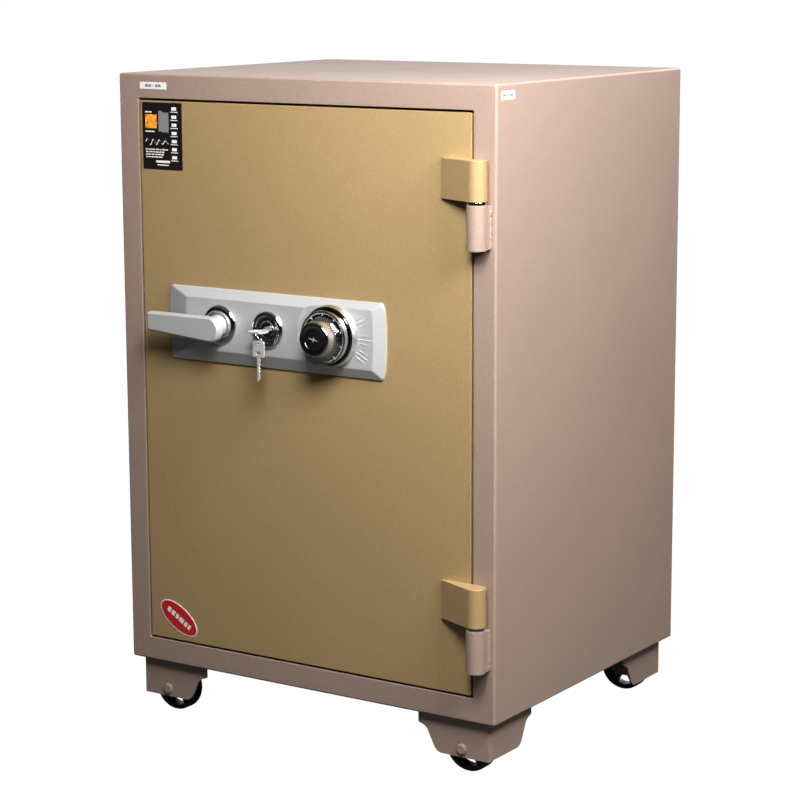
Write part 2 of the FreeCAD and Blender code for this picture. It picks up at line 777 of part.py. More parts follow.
def lever_handle():
    """Tapered lever with a round hub and neck."""
    body = new_body("lever_handle", x="handle_x", z="lock_height")
    profile = sketch(body, "front", "-lever_back - 2")
    circle(profile, "0", "0", "lever_neck_r")
    pad(body, profile, "lever_back + 2 - plate_thick - 0.3", "front")
    profile = sketch(body, "front", "-lever_front")
    circle(profile, "0", "-lever_drop", "lever_hub_r")
    pad(body, profile, "lever_front - lever_back", "front")
    top = "(lever_hub_r - lever_drop)"
    start_x = "-lever_hub_r * sin(lever_taper)"
    start_z = "(-lever_drop - lever_hub_r * cos(lever_taper))"
    tip_low = f"({start_z} + (lever_reach {start_x}) * tan(lever_taper))"
    profile = sketch(body, "front", "-lever_front")
    outline(profile, [("0", top), ("-lever_reach", top), ("-lever_reach", tip_low), (start_x, start_z)])
    pad(body, profile, "lever_front - lever_back", "front")
    reach = SIZES["lever_reach"]
    front = SIZES["lever_front"]
    fillet(body, "3", lambda p: near(p.x, -reach) and abs(p.z) > 9)
    chamfer(body, "lever_chamfer", lambda p: near(p.y, -front))


def escutcheon():
    """Bevelled plate behind the lever, the key and the dial."""
    body = new_body("escutcheon")
    base = sketch(body, "front", "-plate_lip")
    rectangle(base, "plate_left", "plate_right", "plate_low", "plate_high")
    pad(body, base, "plate_lip", "front")
    edge = sketch(body, "front", "-plate_lip")
    rectangle(edge, "plate_left", "plate_right", "plate_low", "plate_high")
    field = sketch(body, "front", "-plate_thick")
    rectangle(field, "field_left", "field_right", "field_low", "field_high")
    loft = body.newObject("PartDesign::AdditiveLoft", "escutcheon_bevel")
    loft.Profile = edge
    loft.Sections = [field]
    loft.Ruled = True
    DOC.recompute()
    profile = sketch(body, "front", "-plate_thick - 1")
    circle(profile, "handle_x", "lock_height", "lever_neck_r + 1")
    circle(profile, "key_x", "lock_height", "plug_face_r + 0.5")
    circle(profile, "dial_x", "lock_height", "tube_bore")
    pocket(body, profile, "plate_thick + 2", "front")


def rosette(label, column, bore, rim):
    """Domed chrome ring on the plate."""
    body = new_body(label, x=column, z="lock_height")
    face = "-plate_thick"
    turned(body, "top", [
        (bore, face), (rim, face), (rim, f"{face} - 1.5"), (f"{rim} - 3", f"{face} - 4"),
        (f"{bore} + 5", f"{face} - 5"), (f"{bore} + 2", f"{face} - 3.5"), (bore, f"{face} - 3"),
    ])


def lock_plug():
    """Turning plug with the keyway, its cam disc and the pin that lifts the key lock's bolt."""
    body = new_body("lock_plug", x="key_x", z="lock_height")
    end = "crank_y + crank_thick"
    turned(body, "top", [
        ("0", "-plate_thick - 4"), ("plug_face_r", "-plate_thick - 4"), ("plug_face_r", "-0.5"),
        ("plug_shaft_r", "-0.5"), ("plug_shaft_r", "crank_y"), ("10", "crank_y"), ("10", end), ("0", end),
    ])
    profile = sketch(body, "front", "crank_y")
    circle(profile, "6 * cos(45)", "-6 * sin(45)", "2")
    pad(body, profile, "bar_y + bar_thick - crank_y", "front")
    profile = sketch(body, "front", "-plate_thick - 5")
    rectangle(profile, "-4.1", "4.1", "-key_thick / 2 - 0.05", "key_thick / 2 + 0.05")
    pocket(body, profile, "plate_thick + 26", "front")


def key():
    """Flat key in the lock, its bow lying level."""
    body = new_body("key", x="key_x", z="lock_height")
    profile = sketch(body, "top", "-key_thick / 2")
    outline(profile, [
        ("-4", "20"), ("-4", "-24"), ("-key_half + 2", "-24"), ("-key_half", "-27"),
        ("-key_half", "-key_front + 4"),
        ("-key_half + 4", "-key_front"), ("key_half - 4", "-key_front"), ("key_half", "-key_front + 4"),
        ("key_half", "-27"), ("key_half - 2", "-24"), ("4", "-24"), ("4", "14"), ("1.5", "20"),
    ])
    pad(body, profile, "key_thick", "top")
    profile = sketch(body, "top", "-key_thick")
    circle(profile, "key_hole_x", "-key_hole_y", "2.9")
    pocket(body, profile, "key_thick * 2", "top")


def key_lock_bolt():
    """Slotted plate that the key lifts into a notch of the bolt bar."""
    body = new_body("key_lock_bolt", x="key_x", z="lock_height")
    profile = sketch(body, "front", "bar_y")
    outline(profile, [
        ("-14", "-14"), ("14", "-14"), ("14", "10.5"), ("4", "10.5"), ("4", "3"), ("-14", "3"),
    ])
    pad(body, profile, "bar_thick", "front")
    profile = sketch(body, "front", "bar_y - 1")
    rectangle(profile, "-1", "9", "-6 * sin(45) - 2.4", "-6 * sin(45) + 2.4")
    pocket(body, profile, "bar_thick + 2", "front")


def key_ring():
    """Wire ring through the key's bow, hanging in the plane across it."""
    ring = DOC.addObject("Part::Torus", "key_ring")
    bind(ring, "Radius1", "ring_r")
    bind(ring, "Radius2", "ring_wire_r")
    ring.Placement = FreeCAD.Placement(FreeCAD.Vector(), TURN_TO["x"])
    place(ring, "key_x + key_hole_x", "-key_hole_y - ring_lead", "lock_height - ring_drop")
    node(ring, "key_ring")


def spare_key():
    """Second key hanging from the ring, its blade down."""
    wire_z = "lock_height - ring_drop - ring_r"
    body = new_body("spare_key", x="key_x + key_hole_x", y="-key_hole_y - ring_lead", z=f"{wire_z} - 1.2")
    profile = sketch(body, "front", "-1")
    teeth = []
    for step in range(5):
        low = f"-46 + {step} * 5.5"
        teeth += [("3.2", low), ("3.2", f"{low} + 2"), ("1.6", f"{low} + 3"), ("1.6", f"{low} + 4.5")]
    outline(profile, [
        ("-9", "1"), ("-7", "3"), ("7", "3"), ("9", "1"), ("9", "-16"), ("7", "-18"), ("3.2", "-18"),
        *reversed(teeth), ("1", "-50"), ("-3.2", "-50"), ("-3.2", "-18"), ("-7", "-18"), ("-9", "-16"),
    ])
    pad(body, profile, "2", "front")
    profile = sketch(body, "front", "-2")
    circle(profile, "0", "0", "2")
    rectangle(profile, "-4", "4", "-14.5", "-10.5")
    pocket(body, profile, "4", "front")


def lock_case(label, column, half, depth):
    """Steel box bolted behind the mounting plate; the open side faces the door's inside."""
    body = new_body(label, x=column)
    profile = sketch(body, "front", "case_y")
    rectangle(profile, f"-{half}", half, "case_low", "case_low + case_height")
    pad(body, profile, depth, "front")
    profile = sketch(body, "front", "case_y + 2.5")
    rectangle(profile, f"2.5 - {half}", f"{half} - 2.5", "case_low + 2.5", "case_low + case_height - 2.5")
    pocket(body, profile, depth, "front")
    return body


def combination_lock_case():
    """Case of the combination lock, with the tube that its wheels turn on."""
    body = lock_case("combination_lock_case", "dial_x", "33", "dial_case_depth")
    profile = sketch(body, "front", "case_y")
    circle(profile, "0", "lock_height", "post_r")
    pad(body, profile, "16", "front")
    profile = sketch(body, "front", "case_y - 1")
    circle(profile, "0", "lock_height", "dial_spindle_r + running")
    pocket(body, profile, "20", "front")
    profile = sketch(body, "front", "case_y - 1")
    rectangle(profile, "18", "26", "lock_height - 9", "lock_height + 10")
    pocket(body, profile, "4", "front")


def lock_covers():
    """Flat lids of the two lock cases."""
    lids = []
    for column, half, depth in (("key_x", "27", "key_case_depth"), ("dial_x", "33", "dial_case_depth")):
        lids.append(block(f"{column}_lid", f"{column} - {half}", f"case_y + {depth}", "case_low",
                          f"2 * {half}", "sheet", "case_height"))
    group("lock_covers", lids)


def combination_wheel(index):
    """Gated disc of the combination lock."""
    body = new_body(f"combination_wheel_{index}", x="dial_x", z="lock_height")
    start = f"case_y + 0.5 + 4 * {index}"
    end = f"{start} + 3"
    bore = "post_r + running"
    turned(body, "top", [(bore, start), ("pack_r", start), ("pack_r", end), (bore, end)])
    gate = 70 + 95 * index
    profile = sketch(body, "front", f"{start} - 1")
    outline(profile, [
        (f"11 * cos({gate} - 9)", f"11 * sin({gate} - 9)"), (f"17 * cos({gate} - 6)", f"17 * sin({gate} - 6)"),
        (f"17 * cos({gate} + 6)", f"17 * sin({gate} + 6)"), (f"11 * cos({gate} + 9)", f"11 * sin({gate} + 9)"),
    ])
    pocket(body, profile, "5", "front")


def combination_lock_bolt():
    """Block that the combination lock raises into a notch of the bolt bar."""
    body = new_body("combination_lock_bolt", x="dial_x", z="lock_height")
    profile = sketch(body, "front", "bar_y")
    rectangle(profile, "17", "27", "-10", "10.5")
    pad(body, profile, "bar_thick", "front")
    profile = sketch(body, "front", "bar_y")
    rectangle(profile, "19", "25", "-8", "0")
    pad(body, profile, "case_y + 5 - bar_y", "front")


def dial_spindle():
    """Shaft from the dial, with the notched cam that picks up the wheels."""
    body = new_body("dial_spindle", x="dial_x", z="lock_height")
    start = "-dial_disc_front"
    cam = "case_y + 18.5"
    turned(body, "top", [
        ("0", start), ("dial_spindle_r", start), ("dial_spindle_r", cam), ("pack_r", cam),
        ("pack_r", f"{cam} + 4"), ("0", f"{cam} + 4"),
    ])
    profile = sketch(body, "front", f"{cam} - 1")
    outline(profile, [("-4", "9"), ("4", "12"), ("4", "18"), ("-4", "18")])
    pocket(body, profile, "6", "front")


def dial_ring():
    """Fixed chrome ring round the dial."""
    body = new_body("dial_ring", x="dial_x", z="lock_height")
    face = "-plate_thick"
    turned(body, "top", [
        ("dial_disc_r + 1", face), ("dial_ring_r", face), ("dial_ring_r", f"{face} - 4"),
        ("dial_ring_r - 1.5", f"{face} - 6.5"), ("dial_disc_r + 2.2", f"{face} - 7"),
        ("dial_disc_r + 1", f"{face} - 5.5"),
    ])


def dial_disc():
    """Thick number dial whose face slopes to the knob."""
    body = new_body("dial_disc", x="dial_x", z="lock_height")
    back = "-plate_thick - 1.5"
    front = "-dial_disc_front"
    turned(body, "top", [
        ("dial_spindle_r", back), ("dial_disc_r", back), ("dial_disc_r", f"{front} + 3"),
        ("dial_disc_r - 1.5", f"{front} + 1.5"), ("knob_r + 1", front), ("dial_spindle_r", front),
    ])


def dial_knob():
    """Tapered round knob with a hollow face."""
    body = new_body("dial_knob", x="dial_x", z="lock_height")
    back = "-dial_disc_front"
    front = "-front_reach"
    turned(body, "top", [
        ("0", back), ("knob_r", back), ("knob_r - 3.5", f"{front} + 1.5"), ("knob_r - 5", front),
        ("insert_r", front), ("insert_r", f"{front} + 2"), ("0", f"{front} + 2"),
    ])


def dial_insert():
    """Dark disc let into the knob's face."""
    body = new_body("dial_insert", x="dial_x", z="lock_height")
    front = "-front_reach + 0.6"
    back = "-front_reach + 2"
    turned(body, "top", [("0", front), ("insert_r", front), ("insert_r", back), ("0", back)])


# ---------------------------------------------------------------- hinges

def hinge(label, leaf_z, shared):
    """One lift-off hinge about the pivot's axis; all but its door leaf joins the shared lists."""
    knuckle_z = f"{leaf_z} - washer_space - frame_knuckle_height"
    body = piece(f"{label}_knuckle", x="pivot_x", y="pivot_y", z=knuckle_z)
    profile = sketch(body, "top", "0")
    circle(profile, "0", "0", "frame_knuckle_r")
    pad(body, profile, "frame_knuckle_height", "top")
    profile = sketch(body, "top", "2")
    outline(profile, [("-8", "0"), ("12", "0"), ("12", "-pivot_y"), ("-8", "-pivot_y")])
    pad(body, profile, "frame_knuckle_height - 4", "top")
    profile = sketch(body, "top", "frame_knuckle_height - pin_bite")
    circle(profile, "0", "0", "pin_r")
    pocket(body, profile, "pin_bite + 1", "top")

    shared["frame_knuckles"].append(body)

    body = piece(f"{label}_pin", x="pivot_x", y="pivot_y", z=knuckle_z)
    start = "(frame_knuckle_height - pin_bite)"
    end = "(frame_knuckle_height + washer_space + pin_bite)"
    turned(body, "front", [
        ("0", start), ("pin_r", start), ("pin_r", f"{end} - 2"), ("pin_r - 2", end), ("0", end),
    ])
    shared["hinge_pins"].append(body)

    body = piece(f"{label}_washer", x="pivot_x", y="pivot_y", z=f"{leaf_z} - washer_space")
    rim = "frame_knuckle_r - 0.5"
    turned(body, "front", [
        ("pin_r + running", "0"), (f"{rim} - 1", "0"), (rim, "1"), (rim, "washer_thick - 1"),
        (f"{rim} - 1", "washer_thick"), ("pin_r + running", "washer_thick"),
    ])
    shared["hinge_washers"].append(body)

    body = new_body(f"{label}_hinge_leaf", x="pivot_x", y="pivot_y", z=leaf_z)
    touch_x = "(-leaf_knuckle_r * sin(leaf_angle))"
    touch_y = "(-leaf_knuckle_r * cos(leaf_angle))"
    profile = sketch(body, "top", "0")
    circle(profile, "0", "0", "leaf_knuckle_r")
    pad(body, profile, "leaf_height", "top")
    profile = sketch(body, "top", "0")
    outline(profile, [
        ("-leaf_reach", "-pivot_y"),
        ("-leaf_reach", f"{touch_y} + ({touch_x} + leaf_reach) * tan(leaf_angle)"),
        (touch_x, touch_y), ("0", "0"), ("0", "leaf_knuckle_r"), ("-15", "leaf_knuckle_r"), ("-17", "-pivot_y"),
    ])
    pad(body, profile, "leaf_height", "top")
    profile = sketch(body, "top", "-1")
    circle(profile, "0", "0", "pin_r + running")
    pocket(body, profile, "pin_bite + 3", "top")


# ---------------------------------------------------------------- casters

def bracket_profile(item, sign):
    """Side view of a bracket plate: square at the corner, stepped and swept at the free end."""
    outline(item, [
        ("0", "0"), (flip(sign, "bracket_reach"), "0"), (flip(sign, "bracket_reach"), "-16"),
        (flip(sign, "bracket_reach - 12"), "-20"), (flip(sign, "bracket_reach - 28"), "-bracket_drop"),
        ("0", "-bracket_drop"),
    ])


def caster(label, side, end, shared):
    """One fixed caster; its wheel is a sub-part, the other pieces join the shared lists.

    side is -1 at the left and 1 at the right, end is -1 at the front and 1 at the rear.
    """
    inward_x = -side
    inward_y = -end
    corner_x = f"({side}) * ({HALF} - bracket_side)"
    corner_y = "bracket_front" if end < 0 else "cab_depth - bracket_front"

    body = piece(f"{label}_bracket", x=corner_x, y=corner_y)
    profile = sketch(body, "front", span(inward_y, "0", "bracket_plate"))
    bracket_profile(profile, inward_x)
    pad(body, profile, "bracket_plate", "front")
    profile = sketch(body, "side", span(inward_x, "0", "bracket_plate"))
    bracket_profile(profile, inward_y)
    pad(body, profile, "bracket_plate", "side")
    profile = sketch(body, "top", "-bracket_plate")
    outline(profile, [
        ("0", "0"), (flip(inward_x, "flange_size"), "0"),
        (flip(inward_x, "flange_size"), flip(inward_y, "flange_size")), ("0", flip(inward_y, "flange_size")),
    ])
    pad(body, profile, "bracket_plate", "top")
    profile = sketch(body, "front", span(inward_y, "-1", "bracket_plate + 2"))
    circle(profile, flip(inward_x, "axle_in"), "-axle_drop", "axle_r")
    pocket(body, profile, "bracket_plate + 2", "front")
    profile = sketch(body, "top", "-bracket_plate - 1")
    for along in ("24", "70"):
        circle(profile, flip(inward_x, along), flip(inward_y, "hanger_y + 17"), "3")
    pocket(body, profile, "bracket_plate + 2", "top")
    drop = SIZES["bracket_drop"]
    reach = SIZES["bracket_reach"]
    fillet(body, "14", lambda p: near(p.z, -20))
    fillet(body, "14", lambda p: near(p.z, -drop) and max(abs(p.x), abs(p.y)) > reach - 32)
    fillet(body, "2.5", lambda p: near(p.z, -16) and max(abs(p.x), abs(p.y)) > reach - 2)

    shared["caster_brackets"].append(body)

    body = piece(f"{label}_hanger", x=corner_x, y=corner_y)
    low = "axle_in - hanger_width / 2"
    high = "axle_in + hanger_width / 2"
    profile = sketch(body, "front", span(inward_y, "hanger_y", "bracket_plate"))
    outline(profile, [
        (flip(inward_x, low), "-bracket_plate"), (flip(inward_x, high), "-bracket_plate"),
        (flip(inward_x, "axle_in + 10"), "-bracket_drop"), (flip(inward_x, "axle_in - 10"), "-bracket_drop"),
    ])
    pad(body, profile, "bracket_plate", "front")
    profile = sketch(body, "top", "-2 * bracket_plate")
    outline(profile, [
        (flip(inward_x, "14"), flip(inward_y, "hanger_y")), (flip(inward_x, "80"), flip(inward_y, "hanger_y")),
        (flip(inward_x, "80"), flip(inward_y, "hanger_y + hanger_foot")),
        (flip(inward_x, "14"), flip(inward_y, "hanger_y + hanger_foot")),
    ])
    pad(body, profile, "bracket_plate", "top")
    profile = sketch(body, "front", span(inward_y, "hanger_y - 1", "bracket_plate + 2"))
    circle(profile, flip(inward_x, "axle_in"), "-axle_drop", "axle_r")
    pocket(body, profile, "bracket_plate + 2", "front")
    profile = sketch(body, "top", "-2 * bracket_plate - 1")
    for along in ("24", "70"):
        circle(profile, flip(inward_x, along), flip(inward_y, "hanger_y + 17"), "3")
    pocket(body, profile, "bracket_plate + 2", "top")

    shared["caster_hangers"].append(body)

    axle_x = f"{corner_x} + {flip(inward_x, 'axle_in')}"
    body = piece(f"{label}_axle", x=axle_x, y=corner_y, z="-axle_drop")
    head = flip(inward_y, "-3.5")
    shoulder = flip(inward_y, "-2.5")
    end_y = flip(inward_y, "hanger_y + 11")
    turned(body, "top", [
        ("0", head), ("5.5", head), ("7", shoulder), ("7", "0"),
        ("axle_r", "0"), ("axle_r", end_y), ("0", end_y),
    ])
    shared["axle_bolts"].append(body)

    body = new_body(f"{label}_wheel", x=axle_x, y=f"{corner_y} + {flip(inward_y, 'wheel_mid')}", z="-axle_drop")
    hub_out = flip(inward_y, "bracket_plate + 0.5 - wheel_mid")
    hub_in = flip(inward_y, "hanger_y - 0.5 - wheel_mid")
    near_web = flip(inward_y, "-3")
    far_web = flip(inward_y, "3")
    rim = "wheel_r - 7"
    turned(body, "top", [
        ("axle_r + running", hub_out), ("hub_r", hub_out), ("hub_r", near_web), (rim, near_web),
        (rim, flip(inward_y, "-wheel_half")), ("wheel_r - 2.5", flip(inward_y, "-wheel_half")),
        ("wheel_r", flip(inward_y, "2.5 - wheel_half")), ("wheel_r", flip(inward_y, "wheel_half - 2.5")),
        ("wheel_r - 2.5", flip(inward_y, "wheel_half")), (rim, flip(inward_y, "wheel_half")), (rim, far_web),
        ("hub_r", far_web), ("hub_r", hub_in), ("axle_r + running", hub_in),
    ])
    profile = sketch(body, "front", "-4")
    outline(profile, [
        ("-2.5", "hub_r + 2.5"), ("2.5", "hub_r + 2.5"), ("8.5", "wheel_r - 10"), ("-8.5", "wheel_r - 10"),
    ])
    window = pocket(body, profile, "8", "front")
    pattern = body.newObject("PartDesign::PolarPattern", f"{label}_windows")
    pattern.Originals = [window]
    pattern.Axis = (profile, ["N_Axis"])
    pattern.Angle = 360
    pattern.Occurrences = 6
    body.Tip = pattern
    DOC.recompute()


CASTERS = {
    "front_left": (-1, -1),
    "front_right": (1, -1),
    "rear_left": (-1, 1),
    "rear_right": (1, 1),
}


def caster_fasteners():
    """Axle nuts, and the screws that hold the brackets and hangers under the cabinet."""
    nuts = []
    screws = []
    for label, (side, end) in CASTERS.items():
        corner_x = f"({side}) * ({HALF} - bracket_side)"
        corner_y = "bracket_front" if end < 0 else "cab_depth - bracket_front"
        nut_y = f"{corner_y} + {span(-end, 'hanger_y + bracket_plate', '6')}"
        nut_x = f"{corner_x} + {flip(-side, 'axle_in')}"
        nut = DOC.addObject("Part::Prism", f"{label}_nut_blank")
        nut.Polygon = 6
        bind(nut, "Circumradius", "7.5")
        bind(nut, "Height", "6")
        nut.Placement = FreeCAD.Placement(FreeCAD.Vector(), TURN_TO["y"])
        place(nut, nut_x, nut_y, "-axle_drop")
        bore = rod(f"{label}_nut_bore", "y", nut_x, f"{nut_y} - 1", "-axle_drop", "axle_r", "8")
        nuts.append(cut(f"{label}_nut", nut, bore))
        for index, along in enumerate(("24", "70"), start=1):
            x = f"{corner_x} + {flip(-side, along)}"
            y = f"{corner_y} + {flip(-end, 'hanger_y + 17')}"
            head = rod(f"{label}_head_{index}", "z", x, y, "-2 * bracket_plate - 4", "5.5", "4")
            shank = rod(f"{label}_shank_{index}", "z", x, y, "-2 * bracket_plate", "3", "2 * bracket_plate")
            screw = DOC.addObject("Part::Fuse", f"{label}_screw_{index}")
            screw.Base = head
            screw.Tool = shank
            screws.append(screw)
    group("caster_fasteners", nuts + screws)


# ---------------------------------------------------------------- labels

def plain_label(label, plane, level, left, right, low, high):
    """Thin stuck-on plate."""
    body = new_body(label)
    profile = sketch(body, plane, level)
    rectangle(profile, left, right, low, high)
    pad(body, profile, "label_thick", plane)


def door_sticker():
    """Oval sticker low on the door, leaning down to the right."""
    sticker = DOC.addObject("Part::Ellipse", "sticker_outline")
    bind(sticker, "MajorRadius", "35")
    bind(sticker, "MinorRadius", "17")
    sticker.Placement = FreeCAD.Placement(
        FreeCAD.Vector(), FreeCAD.Rotation(FreeCAD.Vector(0, 1, 0), 32) * TURN_TO["y"]
    )
    place(sticker, f"83 - {HALF}", "-label_thick", "66")
    plate = DOC.addObject("Part::Extrusion", "door_sticker")
    plate.Base = sticker
    plate.DirMode = "Custom"
    plate.Dir = FreeCAD.Vector(0, 1, 0)
    bind(plate, "LengthFwd", "label_thick")
    plate.Solid = True
    node(plate, "door_sticker")


# ---------------------------------------------------------------- build

def build_cabinet():
    """Everything that stays still."""
    outer_shell()
    rear_panel()
    front_frame()
    cabinet_insulation()
    bolt_sockets()
    inner_liner()
    door_seal()
    shelf("lower_shelf", "lower_shelf_z")
    shelf("upper_shelf", "upper_shelf_z")
    shelf_rails()
    shelf_clips()


def build_door():
    """The door's shell and the parts fixed in it."""
    door_outer_plate()
    door_insulation()
    spindle_tubes()
    door_inner_cover()
    cover_screws()
    lock_mounting_plate()
    angle_with_holes("bolt_guide", f"{PLUG_LEFT} + 7", 1, "bolt_r + 0.08")
    angle_with_holes("dead_bolt_bracket", f"{PLUG_RIGHT} - 22", -1, "bolt_r")
    fixed_dead_bolts()
    escutcheon()
    rosette("handle_rosette", "handle_x", "lever_neck_r + 1", "26.5")
    rosette("key_rosette", "key_x", "plug_face_r + 0.5", "24.5")
    dial_ring()


def build_locks():
    """Lever and boltwork, key lock and combination lock."""
    lever_handle()
    handle_spindle()
    bolt_bar()
    live_bolts()
    key()
    lock_plug()
    key_lock_bolt()
    key_ring()
    spare_key()
    lock_case("key_lock_case", "key_x", "27", "key_case_depth")
    combination_lock_case()
    lock_covers()
    for index in (1, 2, 3):
        combination_wheel(index)
    combination_lock_bolt()
    dial_spindle()
    dial_disc()
    dial_knob()
    dial_insert()


def build_outside():
    """Hinges, casters and labels."""
    names = ("frame_knuckles", "hinge_pins", "hinge_washers", "caster_brackets", "caster_hangers", "axle_bolts")
    shared = {name: [] for name in names}
    hinge("upper", "upper_leaf_z", shared)
    hinge("lower", "lower_leaf_z", shared)
    for label, (side, end) in CASTERS.items():
        caster(label, side, end, shared)
    for name in names:
        group(name, shared[name])
    caster_fasteners()
    plain_label("door_label", "front", "-label_thick", f"39 - {HALF}", f"105 - {HALF}", "675", "763")
    plain_label("frame_label", "front", "-label_thick", f"36 - {HALF}", f"80 - {HALF}", "780", "789")
    door_sticker()


def check_and_write():
    """Refuse a failed feature or a bad shape, then write one STEP file per sub-part."""
    DOC.recompute()
    for item in DOC.Objects:
        if {"Invalid", "Error"} & set(item.State):
            raise RuntimeError(f"{item.Name} failed")
    for item in NODES:
        shape = item.Shape
        if shape.isNull() or not shape.isValid() or not shape.Solids:
            raise RuntimeError(f"{item.Label} has a bad shape")
    os.makedirs("parts", exist_ok=True)
    for item in NODES:
        item.Shape.exportStep(f"parts/{item.Label}.step")
    print(f"{len(NODES)} sub-parts written")


build_cabinet()
build_door()
build_locks()
build_outside()
check_and_write()
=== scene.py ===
"""Looks of an upright fire-resistant office safe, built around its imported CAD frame.

Sizes in the classes are millimetres in the cabinet's own frame: x = 0 is its middle, y = 0 the
door's front face and z = 0 its underside. Place turns them into metres in the shared frame. The
studio's places and a rule's default sizes are in metres.
"""

import json
import logging
import math
from dataclasses import dataclass
from enum import Enum
from typing import Callable, Iterable, Sequence

import bmesh
import bpy
from mathutils import Matrix, Vector

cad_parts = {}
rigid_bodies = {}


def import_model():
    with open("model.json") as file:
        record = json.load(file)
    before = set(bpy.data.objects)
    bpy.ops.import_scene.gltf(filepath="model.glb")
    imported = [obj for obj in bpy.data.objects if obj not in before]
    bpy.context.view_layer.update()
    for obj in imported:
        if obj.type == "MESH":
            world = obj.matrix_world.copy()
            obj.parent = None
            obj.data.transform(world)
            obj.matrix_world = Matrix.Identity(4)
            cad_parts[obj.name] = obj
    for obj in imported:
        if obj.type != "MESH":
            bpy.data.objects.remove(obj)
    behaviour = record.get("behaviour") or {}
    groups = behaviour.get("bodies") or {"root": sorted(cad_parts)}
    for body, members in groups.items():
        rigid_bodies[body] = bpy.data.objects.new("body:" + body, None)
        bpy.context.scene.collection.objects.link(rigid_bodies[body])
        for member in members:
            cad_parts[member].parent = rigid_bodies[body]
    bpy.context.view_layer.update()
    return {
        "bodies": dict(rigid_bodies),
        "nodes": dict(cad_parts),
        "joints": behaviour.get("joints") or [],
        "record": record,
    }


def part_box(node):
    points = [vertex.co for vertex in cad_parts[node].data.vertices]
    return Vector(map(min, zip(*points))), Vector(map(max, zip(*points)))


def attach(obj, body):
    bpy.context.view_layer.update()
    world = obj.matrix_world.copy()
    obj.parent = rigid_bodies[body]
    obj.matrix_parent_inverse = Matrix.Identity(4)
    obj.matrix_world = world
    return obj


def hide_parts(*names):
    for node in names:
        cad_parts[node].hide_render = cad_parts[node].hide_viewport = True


LOG = logging.getLogger("office_safe")
MM = 0.001
BOLT_HEIGHTS = (150.0, 400.0, 650.0)

NUMBER = "NodeSocketFloat"
COUNT = "NodeSocketInt"
VECTOR = "NodeSocketVector"
TINT = "NodeSocketColor"

Flat = tuple[float, float]
Point = tuple[float, float, float]
Colour = tuple[float, float, float]
Box = tuple[float, float, float, float]
Mesh = bpy.types.Mesh
Node = bpy.types.Node
Socket = bpy.types.NodeSocket
Tree = bpy.types.NodeTree


# ------------------------------------------------------------------ frame and mesh building


@dataclass(frozen=True)
class Place:
    """Where the cabinet's front face and underside lie in the shared frame, in metres."""

    front: float
    underside: float

    def at(self, x: float, y: float, z: float) -> Vector:
        """Turn a point in millimetres of the cabinet's frame into metres of the shared frame."""
        return Vector((x * MM, self.front + y * MM, self.underside + z * MM))


class Facing(Enum):
    """Rows that turn a shape's own (across, along, out) into the cabinet's x, y and z."""

    UP = ((1, 0, 0), (0, 1, 0), (0, 0, 1))
    FORWARD = ((1, 0, 0), (0, 0, -1), (0, 1, 0))
    RIGHT = ((0, 0, 1), (1, 0, 0), (0, 1, 0))

    def turn(self, centre: Sequence[float], across: float, along: float, out: float) -> Vector:
        """Turn a point of the shape's own frame and move it to its centre.

        Args:
            centre: Where the shape's own origin lies.
            across: The point's first coordinate.
            along: Its second coordinate.
            out: Its height.

        Returns:
            The point in the cabinet's frame.
        """
        return Matrix(self.value) @ Vector((across, along, out)) + Vector(centre)


def arc(centre: Flat, radius: float, start: float, end: float, steps: int) -> list[Flat]:
    """Points of an arc, both ends included.

    Args:
        centre: The arc's centre.
        radius: Its radius.
        start: First angle in degrees.
        end: Last angle in degrees.
        steps: Number of stretches.

    Returns:
        The points in order.
    """
    angles = [math.radians(start + (end - start) * k / steps) for k in range(steps + 1)]
    return [(centre[0] + radius * math.cos(a), centre[1] + radius * math.sin(a)) for a in angles]


def rounded(corners: Sequence[tuple[float, float, float]], steps: int = 5) -> list[Flat]:
    """Round the corners of a closed outline.

    Args:
        corners: Each corner's two coordinates and its radius, 0 for a sharp one.
        steps: Stretches in each rounded corner.

    Returns:
        The outline's points in order.
    """
    points: list[Flat] = []
    count = len(corners)
    for index, (x, y, radius) in enumerate(corners):
        here = Vector((x, y))
        if radius <= 0:
            points.append((x, y))
            continue
        back = (Vector(corners[index - 1][:2]) - here).normalized()
        ahead = (Vector(corners[(index + 1) % count][:2]) - here).normalized()
        half = back.angle(ahead) / 2
        run = radius / math.tan(half)
        middle = here + (back + ahead).normalized() * (radius / math.sin(half))
        first = here + back * run - middle
        last = here + ahead * run - middle
        turn = first.angle_signed(last)
        for k in range(steps + 1):
            spoke = first.copy()
            spoke.rotate(Matrix.Rotation(-turn * k / steps, 2))
            points.append(tuple(middle + spoke))
    return points


def frame_loop(
    half: float, low: float, high: float, radius: float, y: float, shift: float = 0.0
) -> list[Vector]:
    """A rounded rectangle that faces forward.

    Args:
        half: Half its width.
        low: Height of its lower edge.
        high: Height of its upper edge.
        radius: Radius of its corners.
        y: How far back it stands.
        shift: Where its middle is across.

    Returns:
        Its points, the same number for every radius.
    """
    corners = [(shift - half, low), (shift + half, low), (shift + half, high), (shift - half, high)]
    flat = rounded([(x, z, max(radius, 0.05)) for x, z in corners], 4)
    return [Vector((x, y, z)) for x, z in flat]


